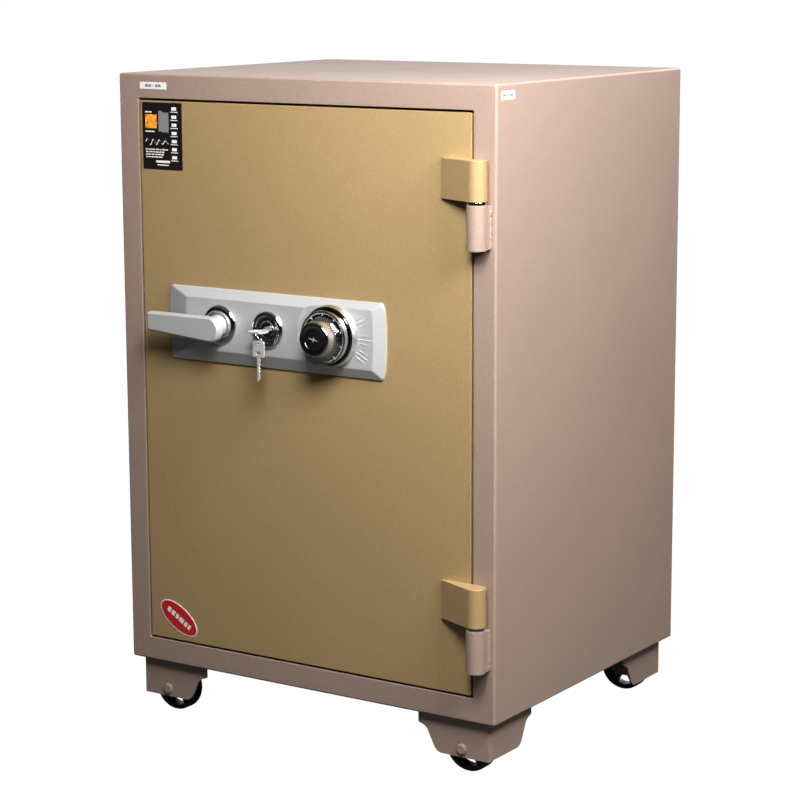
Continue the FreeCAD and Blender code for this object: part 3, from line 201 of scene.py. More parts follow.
class Shape:
    """A mesh under construction, in millimetres of the cabinet's frame."""

    def __init__(self) -> None:
        """Start with an empty mesh."""
        self.bm = bmesh.new()

    def loft(self, loops: Sequence[Sequence[Vector]], ring: bool = False, finish: int = 0) -> "Shape":
        """Join loops of equally many points with a skin.

        Args:
            loops: The loops in order.
            ring: Join the last loop to the first instead of capping both.
            finish: Index of the skin's finish.

        Returns:
            The shape itself.
        """
        rows = [[self.bm.verts.new(point) for point in loop] for loop in loops]
        count = len(rows[0])
        pairs = list(zip(rows, rows[1:]))
        if ring:
            pairs.append((rows[-1], rows[0]))
        for near, far in pairs:
            for k in range(count):
                face = self.bm.faces.new((near[k], near[(k + 1) % count], far[(k + 1) % count], far[k]))
                face.material_index = finish
        if not ring:
            for cap in (rows[0][::-1], rows[-1]):
                self.bm.faces.new(cap).material_index = finish
        return self

    def lathe(
        self,
        profile: Sequence[Flat],
        centre: Sequence[float],
        facing: Facing,
        segments: int = 96,
        finish: int = 0,
        flute: Callable[[float, float], float] | None = None,
    ) -> "Shape":
        """Turn a profile about the line that leaves the centre along the facing.

        Args:
            profile: Radius and height pairs; a first or last radius of 0 closes the shape there.
            centre: The point on the axis at height 0.
            facing: Which way the axis points.
            segments: Number of stretches round the axis.
            finish: Index of the skin's finish.
            flute: Radius change for an angle and a height.

        Returns:
            The shape itself.
        """
        rows = []
        for radius, height in profile:
            if radius < 1e-6:
                rows.append([self.bm.verts.new(facing.turn(centre, 0, 0, height))])
                continue
            row = []
            for k in range(segments):
                angle = 2 * math.pi * k / segments
                reach = radius + (flute(angle, height) if flute else 0.0)
                row.append(
                    self.bm.verts.new(
                        facing.turn(centre, reach * math.cos(angle), reach * math.sin(angle), height)
                    )
                )
            rows.append(row)
        pairs = list(zip(rows, rows[1:]))
        if len(rows[0]) > 1 and len(rows[-1]) > 1:
            pairs.append((rows[-1], rows[0]))
        for near, far in pairs:
            for k in range(segments):
                after = (k + 1) % segments
                corners = [near[k % len(near)], near[after % len(near)], far[after % len(far)],
                           far[k % len(far)]]
                unique = list(dict.fromkeys(corners))
                if len(unique) > 2:
                    self.bm.faces.new(unique).material_index = finish
        return self

    def prism(
        self,
        outline: Sequence[Flat],
        low: float,
        high: float,
        centre: Sequence[float],
        facing: Facing,
        finish: int = 0,
    ) -> "Shape":
        """Raise a flat outline between two heights.

        Args:
            outline: The outline's points.
            low: First height.
            high: Second height.
            centre: Where the outline's own origin lies.
            facing: Which way heights grow.
            finish: Index of the skin's finish.

        Returns:
            The shape itself.
        """
        loops = [[facing.turn(centre, x, y, level) for x, y in outline] for level in (low, high)]
        return self.loft(loops, finish=finish)

    def block(self, low: Sequence[float], high: Sequence[float], finish: int = 0) -> "Shape":
        """Add a box between its lowest and its highest corner and return the shape."""
        outline = [(low[0], low[1]), (high[0], low[1]), (high[0], high[1]), (low[0], high[1])]
        return self.prism(outline, low[2], high[2], (0, 0, 0), Facing.UP, finish)

    def mesh(self, place: Place, name: str) -> Mesh:
        """Finish the shape; it can't be added to afterwards.

        Args:
            place: Where the cabinet stands.
            name: The mesh's name.

        Returns:
            The mesh, in metres of the shared frame.
        """
        bmesh.ops.remove_doubles(self.bm, verts=self.bm.verts, dist=1e-4)
        bmesh.ops.recalc_face_normals(self.bm, faces=self.bm.faces)
        for vertex in self.bm.verts:
            vertex.co = place.at(*vertex.co)
        data = bpy.data.meshes.new(name)
        self.bm.to_mesh(data)
        self.bm.free()
        return data


def evaluated_mesh(item: bpy.types.Object) -> Mesh:
    """Take what an object's modifiers and text settings make as a plain mesh."""
    bpy.context.view_layer.update()
    return bpy.data.meshes.new_from_object(item.evaluated_get(bpy.context.evaluated_depsgraph_get()))


# ------------------------------------------------------------------ node trees


class Wiring:
    """Adds nodes to one tree and links them."""

    def __init__(self, tree: Tree) -> None:
        """Keep the tree."""
        self.tree = tree

    def socket(self, name: str, kind: str, default: object = None, out: bool = False) -> None:
        """Add a named socket to the tree's interface."""
        item = self.tree.interface.new_socket(
            name=name, in_out="OUTPUT" if out else "INPUT", socket_type=kind
        )
        if default is not None:
            item.default_value = default

    def add(self, kind: str, inputs: dict[str | int, object] | None = None, **settings: object) -> Node:
        """Add a node.

        Args:
            kind: The node's type.
            inputs: Socket name or number to a value, or to the output that feeds it.
            settings: The node's own properties.

        Returns:
            The new node.
        """
        node = self.tree.nodes.new(kind)
        for key, value in settings.items():
            setattr(node, key, value)
        for key, value in (inputs or {}).items():
            socket = node.inputs[key]
            if isinstance(value, Socket):
                self.tree.links.new(value, socket)
            else:
                socket.default_value = value
        return node

    def maths(self, operation: str, first: object, second: object = 0.0, clamp: bool = False) -> Socket:
        """Combine two numbers and return the result's socket."""
        node = self.add("ShaderNodeMath", {0: first, 1: second}, operation=operation, use_clamp=clamp)
        return node.outputs[0]

    def blend(self, amount: object, first: object, second: object) -> Socket:
        """Mix two colours.

        Args:
            amount: Share of the second colour.
            first: First colour.
            second: Second colour.

        Returns:
            The result's socket.
        """
        node = self.add("ShaderNodeMix", data_type="RGBA")
        for index, value in ((0, amount), (6, first), (7, second)):
            if isinstance(value, Socket):
                self.tree.links.new(value, node.inputs[index])
            else:
                node.inputs[index].default_value = (*value, 1.0) if index and len(value) == 3 else value
        return node.outputs[2]

    def remap(self, value: object, low: float, high: float, to_low: object, to_high: object) -> Socket:
        """Stretch a number from one range to another and return the result's socket."""
        node = self.add("ShaderNodeMapRange", {0: value, 1: low, 2: high, 3: to_low, 4: to_high})
        return node.outputs[0]


class EffectLibrary:
    """Shader node groups that several finishes share, each built once."""

    def __init__(self) -> None:
        """Build every group."""
        self.spray = self._spray_grain()
        self.drift = self._tone_drift()
        self.wear = self._edge_wear()
        self.dust = self._dust_film()
        self.brush = self._brush_lines()
        self.smudge = self._smudges()

    @staticmethod
    def _start(
        name: str, inputs: Iterable[tuple[str, str, object]], outputs: Iterable[tuple[str, str]]
    ) -> tuple:
        """Start a group with named sockets.

        Args:
            name: The group's name.
            inputs: Name, type and default of each input.
            outputs: Name and type of each output.

        Returns:
            The wiring, the input node and the output node.
        """
        wiring = Wiring(bpy.data.node_groups.new(name, "ShaderNodeTree"))
        for label, kind, default in inputs:
            wiring.socket(label, kind, default)
        for label, kind in outputs:
            wiring.socket(label, kind, out=True)
        return wiring, wiring.add("NodeGroupInput"), wiring.add("NodeGroupOutput")

    def _spray_grain(self) -> Tree:
        """Fine orange peel of sprayed enamel, with metal flakes."""
        wiring, given, result = self._start(
            "spray_grain",
            [("Scale", NUMBER, 900.0), ("Strength", NUMBER, 0.2)],
            [("Normal", VECTOR), ("Flake", NUMBER)],
        )
        place = wiring.add("ShaderNodeTexCoord").outputs["Object"]
        peel = wiring.add(
            "ShaderNodeTexNoise",
            {"Vector": place, "Scale": given.outputs["Scale"], "Detail": 2.0, "Roughness": 0.5}
        )
        fine = wiring.maths("MULTIPLY", given.outputs["Scale"], 2.3)
        cells = wiring.add("ShaderNodeTexVoronoi", {"Vector": place, "Scale": fine})
        height = wiring.maths(
            "ADD", peel.outputs[0], wiring.maths("MULTIPLY", cells.outputs["Distance"], 0.35)
        )
        bump = wiring.add(
            "ShaderNodeBump", {"Strength": given.outputs["Strength"], "Distance": 0.0004, "Height": height}
        )
        wiring.tree.links.new(bump.outputs[0], result.inputs["Normal"])
        split = wiring.add("ShaderNodeSeparateColor", {0: cells.outputs["Color"]})
        wiring.tree.links.new(split.outputs[0], result.inputs["Flake"])
        return wiring.tree

    def _tone_drift(self) -> Tree:
        """Slow change of tone across a panel."""
        wiring, given, result = self._start(
            "tone_drift",
            [("Colour", TINT, (0.5, 0.5, 0.5, 1.0)), ("Scale", NUMBER, 6.0),
             ("Amount", NUMBER, 0.1)],
            [("Colour", TINT)],
        )
        place = wiring.add("ShaderNodeTexCoord").outputs["Object"]
        clouds = wiring.add(
            "ShaderNodeTexNoise", {"Vector": place, "Scale": given.outputs["Scale"], "Detail": 4.0}
        )
        swing = wiring.maths(
            "MULTIPLY", wiring.maths("SUBTRACT", clouds.outputs[0], 0.5), given.outputs["Amount"]
        )
        shade = wiring.add(
            "ShaderNodeHueSaturation",
            {"Value": wiring.maths("ADD", swing, 1.0), "Color": given.outputs["Colour"]}
        )
        wiring.tree.links.new(shade.outputs[0], result.inputs["Colour"])
        return wiring.tree

    def _edge_wear(self) -> Tree:
        """Mask of rubbed edges."""
        wiring, given, result = self._start(
            "edge_wear",
            [("Radius", NUMBER, 0.0015), ("Amount", NUMBER, 0.5)],
            [("Mask", NUMBER)],
        )
        bevel = wiring.add("ShaderNodeBevel", {"Radius": given.outputs["Radius"]}, samples=4)
        plain = wiring.add("ShaderNodeNewGeometry")
        match = wiring.add(
            "ShaderNodeVectorMath", {0: bevel.outputs[0], 1: plain.outputs["Normal"]}, operation="DOT_PRODUCT"
        )
        edge = wiring.remap(match.outputs["Value"], 0.995, 0.80, 0.0, 1.0)
        place = wiring.add("ShaderNodeTexCoord").outputs["Object"]
        chips = wiring.add("ShaderNodeTexNoise", {"Vector": place, "Scale": 140.0, "Detail": 5.0})
        broken = wiring.remap(chips.outputs[0], 0.42, 0.62, 0.0, 1.0)
        mask = wiring.maths(
            "MULTIPLY", wiring.maths("MULTIPLY", edge, broken), given.outputs["Amount"], clamp=True
        )
        wiring.tree.links.new(mask, result.inputs["Mask"])
        return wiring.tree

    def _dust_film(self) -> Tree:
        """Mask of dust that settles on what faces up."""
        wiring, given, result = self._start(
            "dust_film",
            [("Scale", NUMBER, 30.0), ("Amount", NUMBER, 0.2)],
            [("Mask", NUMBER)],
        )
        geometry = wiring.add("ShaderNodeNewGeometry")
        split = wiring.add("ShaderNodeSeparateXYZ", {0: geometry.outputs["Normal"]})
        lying = wiring.remap(split.outputs[2], 0.2, 1.0, 0.15, 1.0)
        place = wiring.add("ShaderNodeTexCoord").outputs["Object"]
        specks = wiring.add(
            "ShaderNodeTexNoise", {"Vector": place, "Scale": given.outputs["Scale"], "Detail": 8.0}
        )
        patchy = wiring.remap(specks.outputs[0], 0.35, 0.75, 0.0, 1.0)
        mask = wiring.maths(
            "MULTIPLY", wiring.maths("MULTIPLY", lying, patchy), given.outputs["Amount"], clamp=True
        )
        wiring.tree.links.new(mask, result.inputs["Mask"])
        return wiring.tree

    def _brush_lines(self) -> Tree:
        """Fine drawn lines along one axis."""
        wiring, given, result = self._start(
            "brush_lines",
            [("Stretch", VECTOR, (20.0, 900.0, 900.0)), ("Strength", NUMBER, 0.1)],
            [("Normal", VECTOR), ("Mask", NUMBER)],
        )
        place = wiring.add("ShaderNodeTexCoord").outputs["Object"]
        stretched = wiring.add(
            "ShaderNodeVectorMath", {0: place, 1: given.outputs["Stretch"]}, operation="MULTIPLY"
        )
        lines = wiring.add(
            "ShaderNodeTexNoise", {"Vector": stretched.outputs[0], "Scale": 1.0, "Detail": 3.0}
        )
        bump = wiring.add(
            "ShaderNodeBump",
            {"Strength": given.outputs["Strength"], "Distance": 0.0002, "Height": lines.outputs[0]},
        )
        wiring.tree.links.new(bump.outputs[0], result.inputs["Normal"])
        wiring.tree.links.new(lines.outputs[0], result.inputs["Mask"])
        return wiring.tree

    def _smudges(self) -> Tree:
        """Soft marks that dull a polish here and there."""
        wiring, given, result = self._start(
            "smudges",
            [("Scale", NUMBER, 40.0), ("Amount", NUMBER, 0.1)],
            [("Mask", NUMBER)],
        )
        place = wiring.add("ShaderNodeTexCoord").outputs["Object"]
        marks = wiring.add(
            "ShaderNodeTexNoise",
            {"Vector": place, "Scale": given.outputs["Scale"], "Detail": 3.0, "Distortion": 1.2},
        )
        soft = wiring.remap(marks.outputs[0], 0.40, 0.70, 0.0, 1.0)
        wiring.tree.links.new(wiring.maths("MULTIPLY", soft, given.outputs["Amount"]), result.inputs["Mask"])
        return wiring.tree


# ------------------------------------------------------------------ finishes


DUST_COLOUR = (0.55, 0.52, 0.48)


@dataclass(frozen=True)
class Finish:
    """What every finish has: a name, a colour and a roughness."""

    name: str
    colour: Colour
    roughness: float = 0.4
    metallic: float = 0.0
    coat: float = 0.0
    specular: float = 0.5
    dust: float = 0.0
    drift: float = 0.06

    def material(self, effects: EffectLibrary) -> bpy.types.Material:
        """Build the material.

        Args:
            effects: The shared node groups.

        Returns:
            The finished material.
        """
        result = bpy.data.materials.new(self.name)
        result.use_nodes = True
        wiring = Wiring(result.node_tree)
        shader = result.node_tree.nodes["Principled BSDF"]
        shader.inputs["Metallic"].default_value = self.metallic
        shader.inputs["Coat Weight"].default_value = self.coat
        shader.inputs["Coat Roughness"].default_value = 0.08
        shader.inputs["Specular IOR Level"].default_value = self.specular
        shade = wiring.add("ShaderNodeGroup", node_tree=effects.drift)
        shade.inputs["Colour"].default_value = (*self.colour, 1.0)
        shade.inputs["Amount"].default_value = self.drift
        colour, roughness, normal = self.surface(wiring, effects, shade.outputs["Colour"])
        if self.dust > 0:
            film = wiring.add("ShaderNodeGroup", {"Amount": self.dust}, node_tree=effects.dust)
            colour = wiring.blend(film.outputs["Mask"], colour, DUST_COLOUR)
            roughness = wiring.maths(
                "ADD", roughness, wiring.maths("MULTIPLY", film.outputs["Mask"], 0.4), clamp=True
            )
        result.node_tree.links.new(colour, shader.inputs["Base Color"])
        result.node_tree.links.new(roughness, shader.inputs["Roughness"])
        if normal is not None:
            result.node_tree.links.new(normal, shader.inputs["Normal"])
        return result

    def surface(self, wiring: Wiring, effects: EffectLibrary, colour: Socket) -> tuple:
        """Make what varies over the surface.

        Args:
            wiring: The material's wiring.
            effects: The shared node groups.
            colour: The colour with its slow change of tone.

        Returns:
            Sockets of the colour, the roughness and the normal, or None for no normal.
        """
        marks = wiring.add("ShaderNodeGroup", {"Amount": 0.08}, node_tree=effects.smudge)
        return colour, wiring.maths("ADD", marks.outputs["Mask"], self.roughness), None


@dataclass(frozen=True)
class SprayedEnamel(Finish):
    """Baked metallic enamel with orange peel, flakes and rubbed edges."""

    grain: float = 900.0
    peel: float = 0.22
    flakes: float = 0.16
    worn: float = 0.25
    worn_colour: Colour = (0.55, 0.50, 0.44)

    def surface(self, wiring: Wiring, effects: EffectLibrary, colour: Socket) -> tuple:
        """Make what varies over the surface.

        Args:
            wiring: The material's wiring.
            effects: The shared node groups.
            colour: The colour with its slow change of tone.

        Returns:
            Sockets of the colour, the roughness and the normal, or None for no normal.
        """
        grain = wiring.add(
            "ShaderNodeGroup", {"Scale": self.grain, "Strength": self.peel}, node_tree=effects.spray
        )
        flake = grain.outputs["Flake"]
        gain = wiring.remap(flake, 0.0, 1.0, 1.0 - self.flakes, 1.0 + self.flakes)
        shade = wiring.add("ShaderNodeHueSaturation", {"Value": gain, "Color": colour}).outputs[0]
        wear = wiring.add("ShaderNodeGroup", {"Amount": self.worn}, node_tree=effects.wear)
        shade = wiring.blend(wear.outputs["Mask"], shade, self.worn_colour)
        marks = wiring.add("ShaderNodeGroup", {"Scale": 9.0, "Amount": 0.07}, node_tree=effects.smudge)
        base = wiring.remap(flake, 0.0, 1.0, self.roughness - 0.04, self.roughness + 0.04)
        return shade, wiring.maths("ADD", base, marks.outputs["Mask"]), grain.outputs["Normal"]


@dataclass(frozen=True)
class DrawnMetal(Finish):
    """Metal with fine lines, polished or satin."""

    stretch: Point = (30.0, 900.0, 900.0)
    lines: float = 0.05
    marks: float = 0.06

    def surface(self, wiring: Wiring, effects: EffectLibrary, colour: Socket) -> tuple:
        """Make what varies over the surface.

        Args:
            wiring: The material's wiring.
            effects: The shared node groups.
            colour: The colour with its slow change of tone.

        Returns:
            Sockets of the colour, the roughness and the normal, or None for no normal.
        """
        brush = wiring.add(
            "ShaderNodeGroup", {"Stretch": self.stretch, "Strength": self.lines}, node_tree=effects.brush
        )
        marks = wiring.add("ShaderNodeGroup", {"Amount": self.marks}, node_tree=effects.smudge)
        ground = wiring.remap(brush.outputs["Mask"], 0.3, 0.7, self.roughness * 0.85, self.roughness * 1.15)
        return colour, wiring.maths("ADD", ground, marks.outputs["Mask"]), brush.outputs["Normal"]


@dataclass(frozen=True)
class MouldedPlastic(Finish):
    """Plastic or rubber with a faint grain."""

    grain: float = 1200.0
    peel: float = 0.12

    def surface(self, wiring: Wiring, effects: EffectLibrary, colour: Socket) -> tuple:
        """Make what varies over the surface.

        Args:
            wiring: The material's wiring.
            effects: The shared node groups.
            colour: The colour with its slow change of tone.

        Returns:
            Sockets of the colour, the roughness and the normal, or None for no normal.
        """
        grain = wiring.add(
            "ShaderNodeGroup", {"Scale": self.grain, "Strength": self.peel}, node_tree=effects.spray
        )
        marks = wiring.add("ShaderNodeGroup", {"Amount": 0.12}, node_tree=effects.smudge)
        return colour, wiring.maths("ADD", marks.outputs["Mask"], self.roughness), grain.outputs["Normal"]


@dataclass(frozen=True)
class FlamePrint(Finish):
    """Printed blaze that runs from a deep to a bright colour in patches."""

    bright: Colour = (1.0, 0.6, 0.05)
    patches: float = 190.0

    def surface(self, wiring: Wiring, effects: EffectLibrary, colour: Socket) -> tuple:
        """Make what varies over the surface.

        Args:
            wiring: The material's wiring.
            effects: The shared node groups.
            colour: The colour with its slow change of tone.

        Returns:
            Sockets of the colour, the roughness and the normal, or None for no normal.
        """
        patches = wiring.add(
            "ShaderNodeGroup", {"Scale": self.patches, "Amount": 1.0}, node_tree=effects.smudge
        )
        marks = wiring.add("ShaderNodeGroup", {"Amount": 0.1}, node_tree=effects.smudge)
        rough = wiring.maths("ADD", marks.outputs["Mask"], self.roughness)
        return wiring.blend(patches.outputs["Mask"], colour, self.bright), rough, None


FINISHES: tuple[Finish, ...] = (
    SprayedEnamel("cabinet_paint", (0.345, 0.246, 0.197), 0.42, metallic=0.15, dust=0.12, grain=620.0,
                  flakes=0.12, worn_colour=(0.62, 0.52, 0.46)),
    SprayedEnamel("door_paint", (0.44, 0.300, 0.138), 0.42, metallic=0.30, grain=620.0, flakes=0.12,
                  worn_colour=(0.66, 0.54, 0.36)),
    DrawnMetal("chrome", (0.74, 0.74, 0.75), 0.05, metallic=1.0, lines=0.01, marks=0.05, drift=0.02),
    # Darker chrome of the dial; the brass lock plug also takes it, as painted shade for the shadow it lies
    # in.
    DrawnMetal("dark_chrome_and_plug_shade", (0.50, 0.50, 0.51), 0.07, metallic=1.0, lines=0.01, marks=0.05, drift=0.02),
    DrawnMetal("key_nickel", (0.86, 0.83, 0.80), 0.30, metallic=0.6, lines=0.05, marks=0.10),
    SprayedEnamel("satin_metal", (0.60, 0.607, 0.603), 0.36, metallic=0.45, grain=1600.0, peel=0.08,
                  flakes=0.05, worn=0.15, worn_colour=(0.70, 0.70, 0.70), drift=0.03),
    DrawnMetal("plated_steel", (0.50, 0.50, 0.48), 0.32, metallic=0.9, lines=0.08, marks=0.15),
    SprayedEnamel("sheet_steel", (0.47, 0.45, 0.41), 0.45, metallic=0.2, peel=0.15, flakes=0.05, worn=0.1),
    MouldedPlastic("filling", (0.55, 0.53, 0.49), 0.9, grain=300.0, peel=0.6),
    MouldedPlastic("seal", (0.03, 0.03, 0.03), 0.7),
    MouldedPlastic("dial_black", (0.006, 0.006, 0.007), 0.12, coat=0.6, peel=0.02),
    MouldedPlastic("wheel_black", (0.018, 0.018, 0.02), 0.36, dust=0.12, peel=0.08),
    DrawnMetal("brass", (0.62, 0.44, 0.18), 0.25, metallic=1.0),
    MouldedPlastic("label_dark", (0.010, 0.008, 0.008), 0.24, coat=0.3, peel=0.02),
    MouldedPlastic("label_light", (0.78, 0.76, 0.72), 0.45, peel=0.04),
    MouldedPlastic("label_red", (0.50, 0.012, 0.014), 0.28, coat=0.3, peel=0.02),
    MouldedPlastic("ink_grey", (0.20, 0.20, 0.20), 0.5, peel=0.02),
    MouldedPlastic("ink_white", (0.80, 0.78, 0.76), 0.45, peel=0.02),
    FlamePrint("ink_flame", (0.80, 0.10, 0.01), 0.35, bright=(1.0, 0.62, 0.06)),
)


# ------------------------------------------------------------------ rule-made meshes


class RuleMesh:
    """Runs a geometry node tree and keeps its result as a plain mesh."""

    @staticmethod
    def start(name: str, inputs: Iterable[tuple[str, str, object]]) -> tuple[Wiring, Node]:
        """Start a tree with a geometry input and output and named sizes.

        Args:
            name: The tree's name.
            inputs: Name, type and default of each size.

        Returns:
            The wiring and the input node.
        """
        wiring = Wiring(bpy.data.node_groups.new(name, "GeometryNodeTree"))
        wiring.socket("Geometry", "NodeSocketGeometry")
        for label, kind, default in inputs:
            wiring.socket(label, kind, default)
        wiring.socket("Finish", "NodeSocketMaterial")
        wiring.socket("Geometry", "NodeSocketGeometry", out=True)
        return wiring, wiring.add("NodeGroupInput")

    @staticmethod
    def end(wiring: Wiring, given: Node, geometry: Socket) -> Tree:
        """Close a tree with Realize Instances and Set Material.

        Args:
            wiring: The tree's wiring.
            given: The tree's input node, which has a Finish.
            geometry: What the tree made.

        Returns:
            The finished tree.
        """
        real = wiring.add("GeometryNodeRealizeInstances", {0: geometry})
        dressed = wiring.add(
            "GeometryNodeSetMaterial", {"Geometry": real.outputs[0], "Material": given.outputs["Finish"]}
        )
        wiring.add("NodeGroupOutput", {0: dressed.outputs[0]})
        return wiring.tree

    @staticmethod
    def run(tree: Tree, points: Sequence[Vector], values: dict[str, object], name: str) -> Mesh:
        """Evaluate a tree on a set of points.

        Args:
            tree: The tree to run.
            points: Points in metres that the tree's geometry input gets.
            values: Input name to value.
            name: Name of the result.

        Returns:
            The result as a plain mesh.
        """
        data = bpy.data.meshes.new(name)
        data.from_pydata([tuple(point) for point in points], [], [])
        carrier = bpy.data.objects.new(name + "_rule", data)
        bpy.context.scene.collection.objects.link(carrier)
        modifier = carrier.modifiers.new("rule", "NODES")
        modifier.node_group = tree
        for item in tree.interface.items_tree:
            if item.item_type == "SOCKET" and item.in_out == "INPUT" and item.name in values:
                modifier[item.identifier] = values[item.name]
        result = evaluated_mesh(carrier)
        bpy.data.objects.remove(carrier)
        return result


class RuleLibrary:
    """Geometry node trees that make what repeats."""

    def __init__(self) -> None:
        """Build every tree."""
        self.graduations = self._graduations()
        self.spokes = self._spokes()
        self.screws = self._screws()
        self.weld = self._weld()
        self.wire_ring = self._wire_ring()

    @staticmethod
    def _face_forward(wiring: Wiring, given: Node, geometry: Socket) -> Socket:
        """Turn geometry made flat so that it faces forward, and move it to its centre.

        Args:
            wiring: The tree's wiring.
            given: The tree's input node, which has a Centre.
            geometry: The geometry.

        Returns:
            The turned geometry's socket.
        """
        turned = wiring.add(
            "GeometryNodeTransform",
            {"Geometry": geometry, "Translation": given.outputs["Centre"],
             "Rotation": (math.pi / 2, 0.0, 0.0)},
        )
        return turned.outputs[0]

    def _graduations(self) -> Tree:
        """Bars round a circle; every fifth is longer."""
        wiring, given = RuleMesh.start(
            "dial_graduations",
            [("Count", COUNT, 100), ("Radius", NUMBER, 0.03), ("Length", NUMBER, 0.002),
             ("Width", NUMBER, 0.0004), ("Height", NUMBER, 0.0002),
             ("Tilt", NUMBER, 0.0), ("Centre", VECTOR, (0.0, 0.0, 0.0))],
        )
        circle = wiring.add(
            "GeometryNodeMeshCircle", {"Vertices": given.outputs["Count"], "Radius": given.outputs["Radius"]}
        )
        size = wiring.add(
            "ShaderNodeCombineXYZ",
            {0: given.outputs["Length"], 1: given.outputs["Width"], 2: given.outputs["Height"]},
        )
        bar = wiring.add("GeometryNodeMeshCube", {"Size": size.outputs[0]})
        index = wiring.add("GeometryNodeInputIndex").outputs[0]
        step = wiring.maths("DIVIDE", 2 * math.pi, given.outputs["Count"])
        angle = wiring.maths("MULTIPLY", index, step)
        euler = wiring.add("ShaderNodeCombineXYZ", {1: given.outputs["Tilt"], 2: angle})
        fifth = wiring.maths("LESS_THAN", wiring.maths("MODULO", index, 5.0), 0.5)
        longer = wiring.maths("ADD", wiring.maths("MULTIPLY", fifth, 0.7), 1.0)
        scale = wiring.add("ShaderNodeCombineXYZ", {0: longer, 1: 1.0, 2: 1.0})
        bars = wiring.add(
            "GeometryNodeInstanceOnPoints",
            {"Points": circle.outputs[0], "Instance": bar.outputs[0], "Rotation": euler.outputs[0],
             "Scale": scale.outputs[0]},
        )
        return RuleMesh.end(wiring, given, self._face_forward(wiring, given, bars.outputs[0]))

    def _spokes(self) -> Tree:
        """Spokes between a hub and a rim."""
        wiring, given = RuleMesh.start(
            "wheel_spokes",
            [("Count", COUNT, 6), ("Inner", NUMBER, 0.008), ("Outer", NUMBER, 0.0275),
             ("Width", NUMBER, 0.005), ("Depth", NUMBER, 0.006),
             ("Centre", VECTOR, (0.0, 0.0, 0.0))],
        )
        middle = wiring.maths(
            "MULTIPLY", wiring.maths("ADD", given.outputs["Inner"], given.outputs["Outer"]), 0.5
        )
        reach = wiring.maths("SUBTRACT", given.outputs["Outer"], given.outputs["Inner"])
        circle = wiring.add("GeometryNodeMeshCircle", {"Vertices": given.outputs["Count"], "Radius": middle})
        size = wiring.add(
            "ShaderNodeCombineXYZ", {0: reach, 1: given.outputs["Width"], 2: given.outputs["Depth"]}
        )
        bar = wiring.add("GeometryNodeMeshCube", {"Size": size.outputs[0], "Vertices X": 5})
        index = wiring.add("GeometryNodeInputIndex").outputs[0]
        angle = wiring.maths("MULTIPLY", index, wiring.maths("DIVIDE", 2 * math.pi, given.outputs["Count"]))
        euler = wiring.add("ShaderNodeCombineXYZ", {2: angle})
        spokes = wiring.add(
            "GeometryNodeInstanceOnPoints",
            {"Points": circle.outputs[0], "Instance": bar.outputs[0], "Rotation": euler.outputs[0]},
        )
        return RuleMesh.end(wiring, given, self._face_forward(wiring, given, spokes.outputs[0]))

    def _screws(self) -> Tree:
        """Pan heads with a driver recess on points that face backwards."""
        wiring, given = RuleMesh.start(
            "pan_screws",
            [("Radius", NUMBER, 0.0045), ("Height", NUMBER, 0.0024), ("Seed", COUNT, 7)],
        )
        head = wiring.add(
            "GeometryNodeMeshCone",
            {"Vertices": 28, "Side Segments": 3,
             "Radius Top": wiring.maths("MULTIPLY", given.outputs["Radius"], 0.72),
             "Radius Bottom": given.outputs["Radius"], "Depth": given.outputs["Height"]},
        )
        slot_size = wiring.add(
            "ShaderNodeCombineXYZ",
            {0: given.outputs["Radius"],
             1: wiring.maths("MULTIPLY", given.outputs["Radius"], 0.22), 2: given.outputs["Height"]},
        )
        bars = []
        for angle in (0.0, math.pi / 2):
            bar = wiring.add("GeometryNodeMeshCube", {"Size": slot_size.outputs[0]})
            moved = wiring.add(
                "GeometryNodeTransform", {"Geometry": bar.outputs[0], "Rotation": (0.0, 0.0, angle)}
            )
            lift = wiring.add(
                "ShaderNodeCombineXYZ", {2: wiring.maths("MULTIPLY", given.outputs["Height"], 0.95)}
            )
            wiring.tree.links.new(lift.outputs[0], moved.inputs["Translation"])
            bars.append(moved.outputs[0])
        cross = wiring.add("GeometryNodeMeshBoolean", operation="DIFFERENCE", solver="EXACT")
        wiring.tree.links.new(head.outputs[0], cross.inputs["Mesh 1"])
        for bar in bars:
            wiring.tree.links.new(bar, cross.inputs["Mesh 2"])
        spin = wiring.add(
            "FunctionNodeRandomValue", {"Min": 0.0, "Max": 3.1, "Seed": given.outputs["Seed"]},
            data_type="FLOAT"
        )
        random_turn = next(socket for socket in spin.outputs if socket.type == "VALUE")
        euler = wiring.add("ShaderNodeCombineXYZ", {0: -math.pi / 2, 1: random_turn})
        screws = wiring.add(
            "GeometryNodeInstanceOnPoints",
            {"Points": given.outputs["Geometry"], "Instance": cross.outputs[0], "Rotation": euler.outputs[0]},
        )
        return RuleMesh.end(wiring, given, screws.outputs[0])

    def _weld(self) -> Tree:
        """Overlapping beads of uneven size along a run of points."""
        wiring, given = RuleMesh.start(
            "weld_bead",
            [("Radius", NUMBER, 0.002), ("Uneven", NUMBER, 0.3), ("Seed", COUNT, 3)],
        )
        bead = wiring.add("GeometryNodeMeshIcoSphere", {"Radius": given.outputs["Radius"], "Subdivisions": 2})
        low = wiring.maths("SUBTRACT", 1.0, given.outputs["Uneven"])
        high = wiring.maths("ADD", 1.0, given.outputs["Uneven"])
        size = wiring.add(
            "FunctionNodeRandomValue", {"Seed": given.outputs["Seed"]}, data_type="FLOAT"
        )
        limits = ("Min", "Max")
        floats = [socket for socket in size.inputs if socket.type == "VALUE" and socket.name in limits]
        for socket, value in zip(floats, (low, high)):
            wiring.tree.links.new(value, socket)
        scale = next(socket for socket in size.outputs if socket.type == "VALUE")
        beads = wiring.add(
            "GeometryNodeInstanceOnPoints",
            {"Points": given.outputs["Geometry"], "Instance": bead.outputs[0], "Scale": scale},
        )
        return RuleMesh.end(wiring, given, beads.outputs[0])

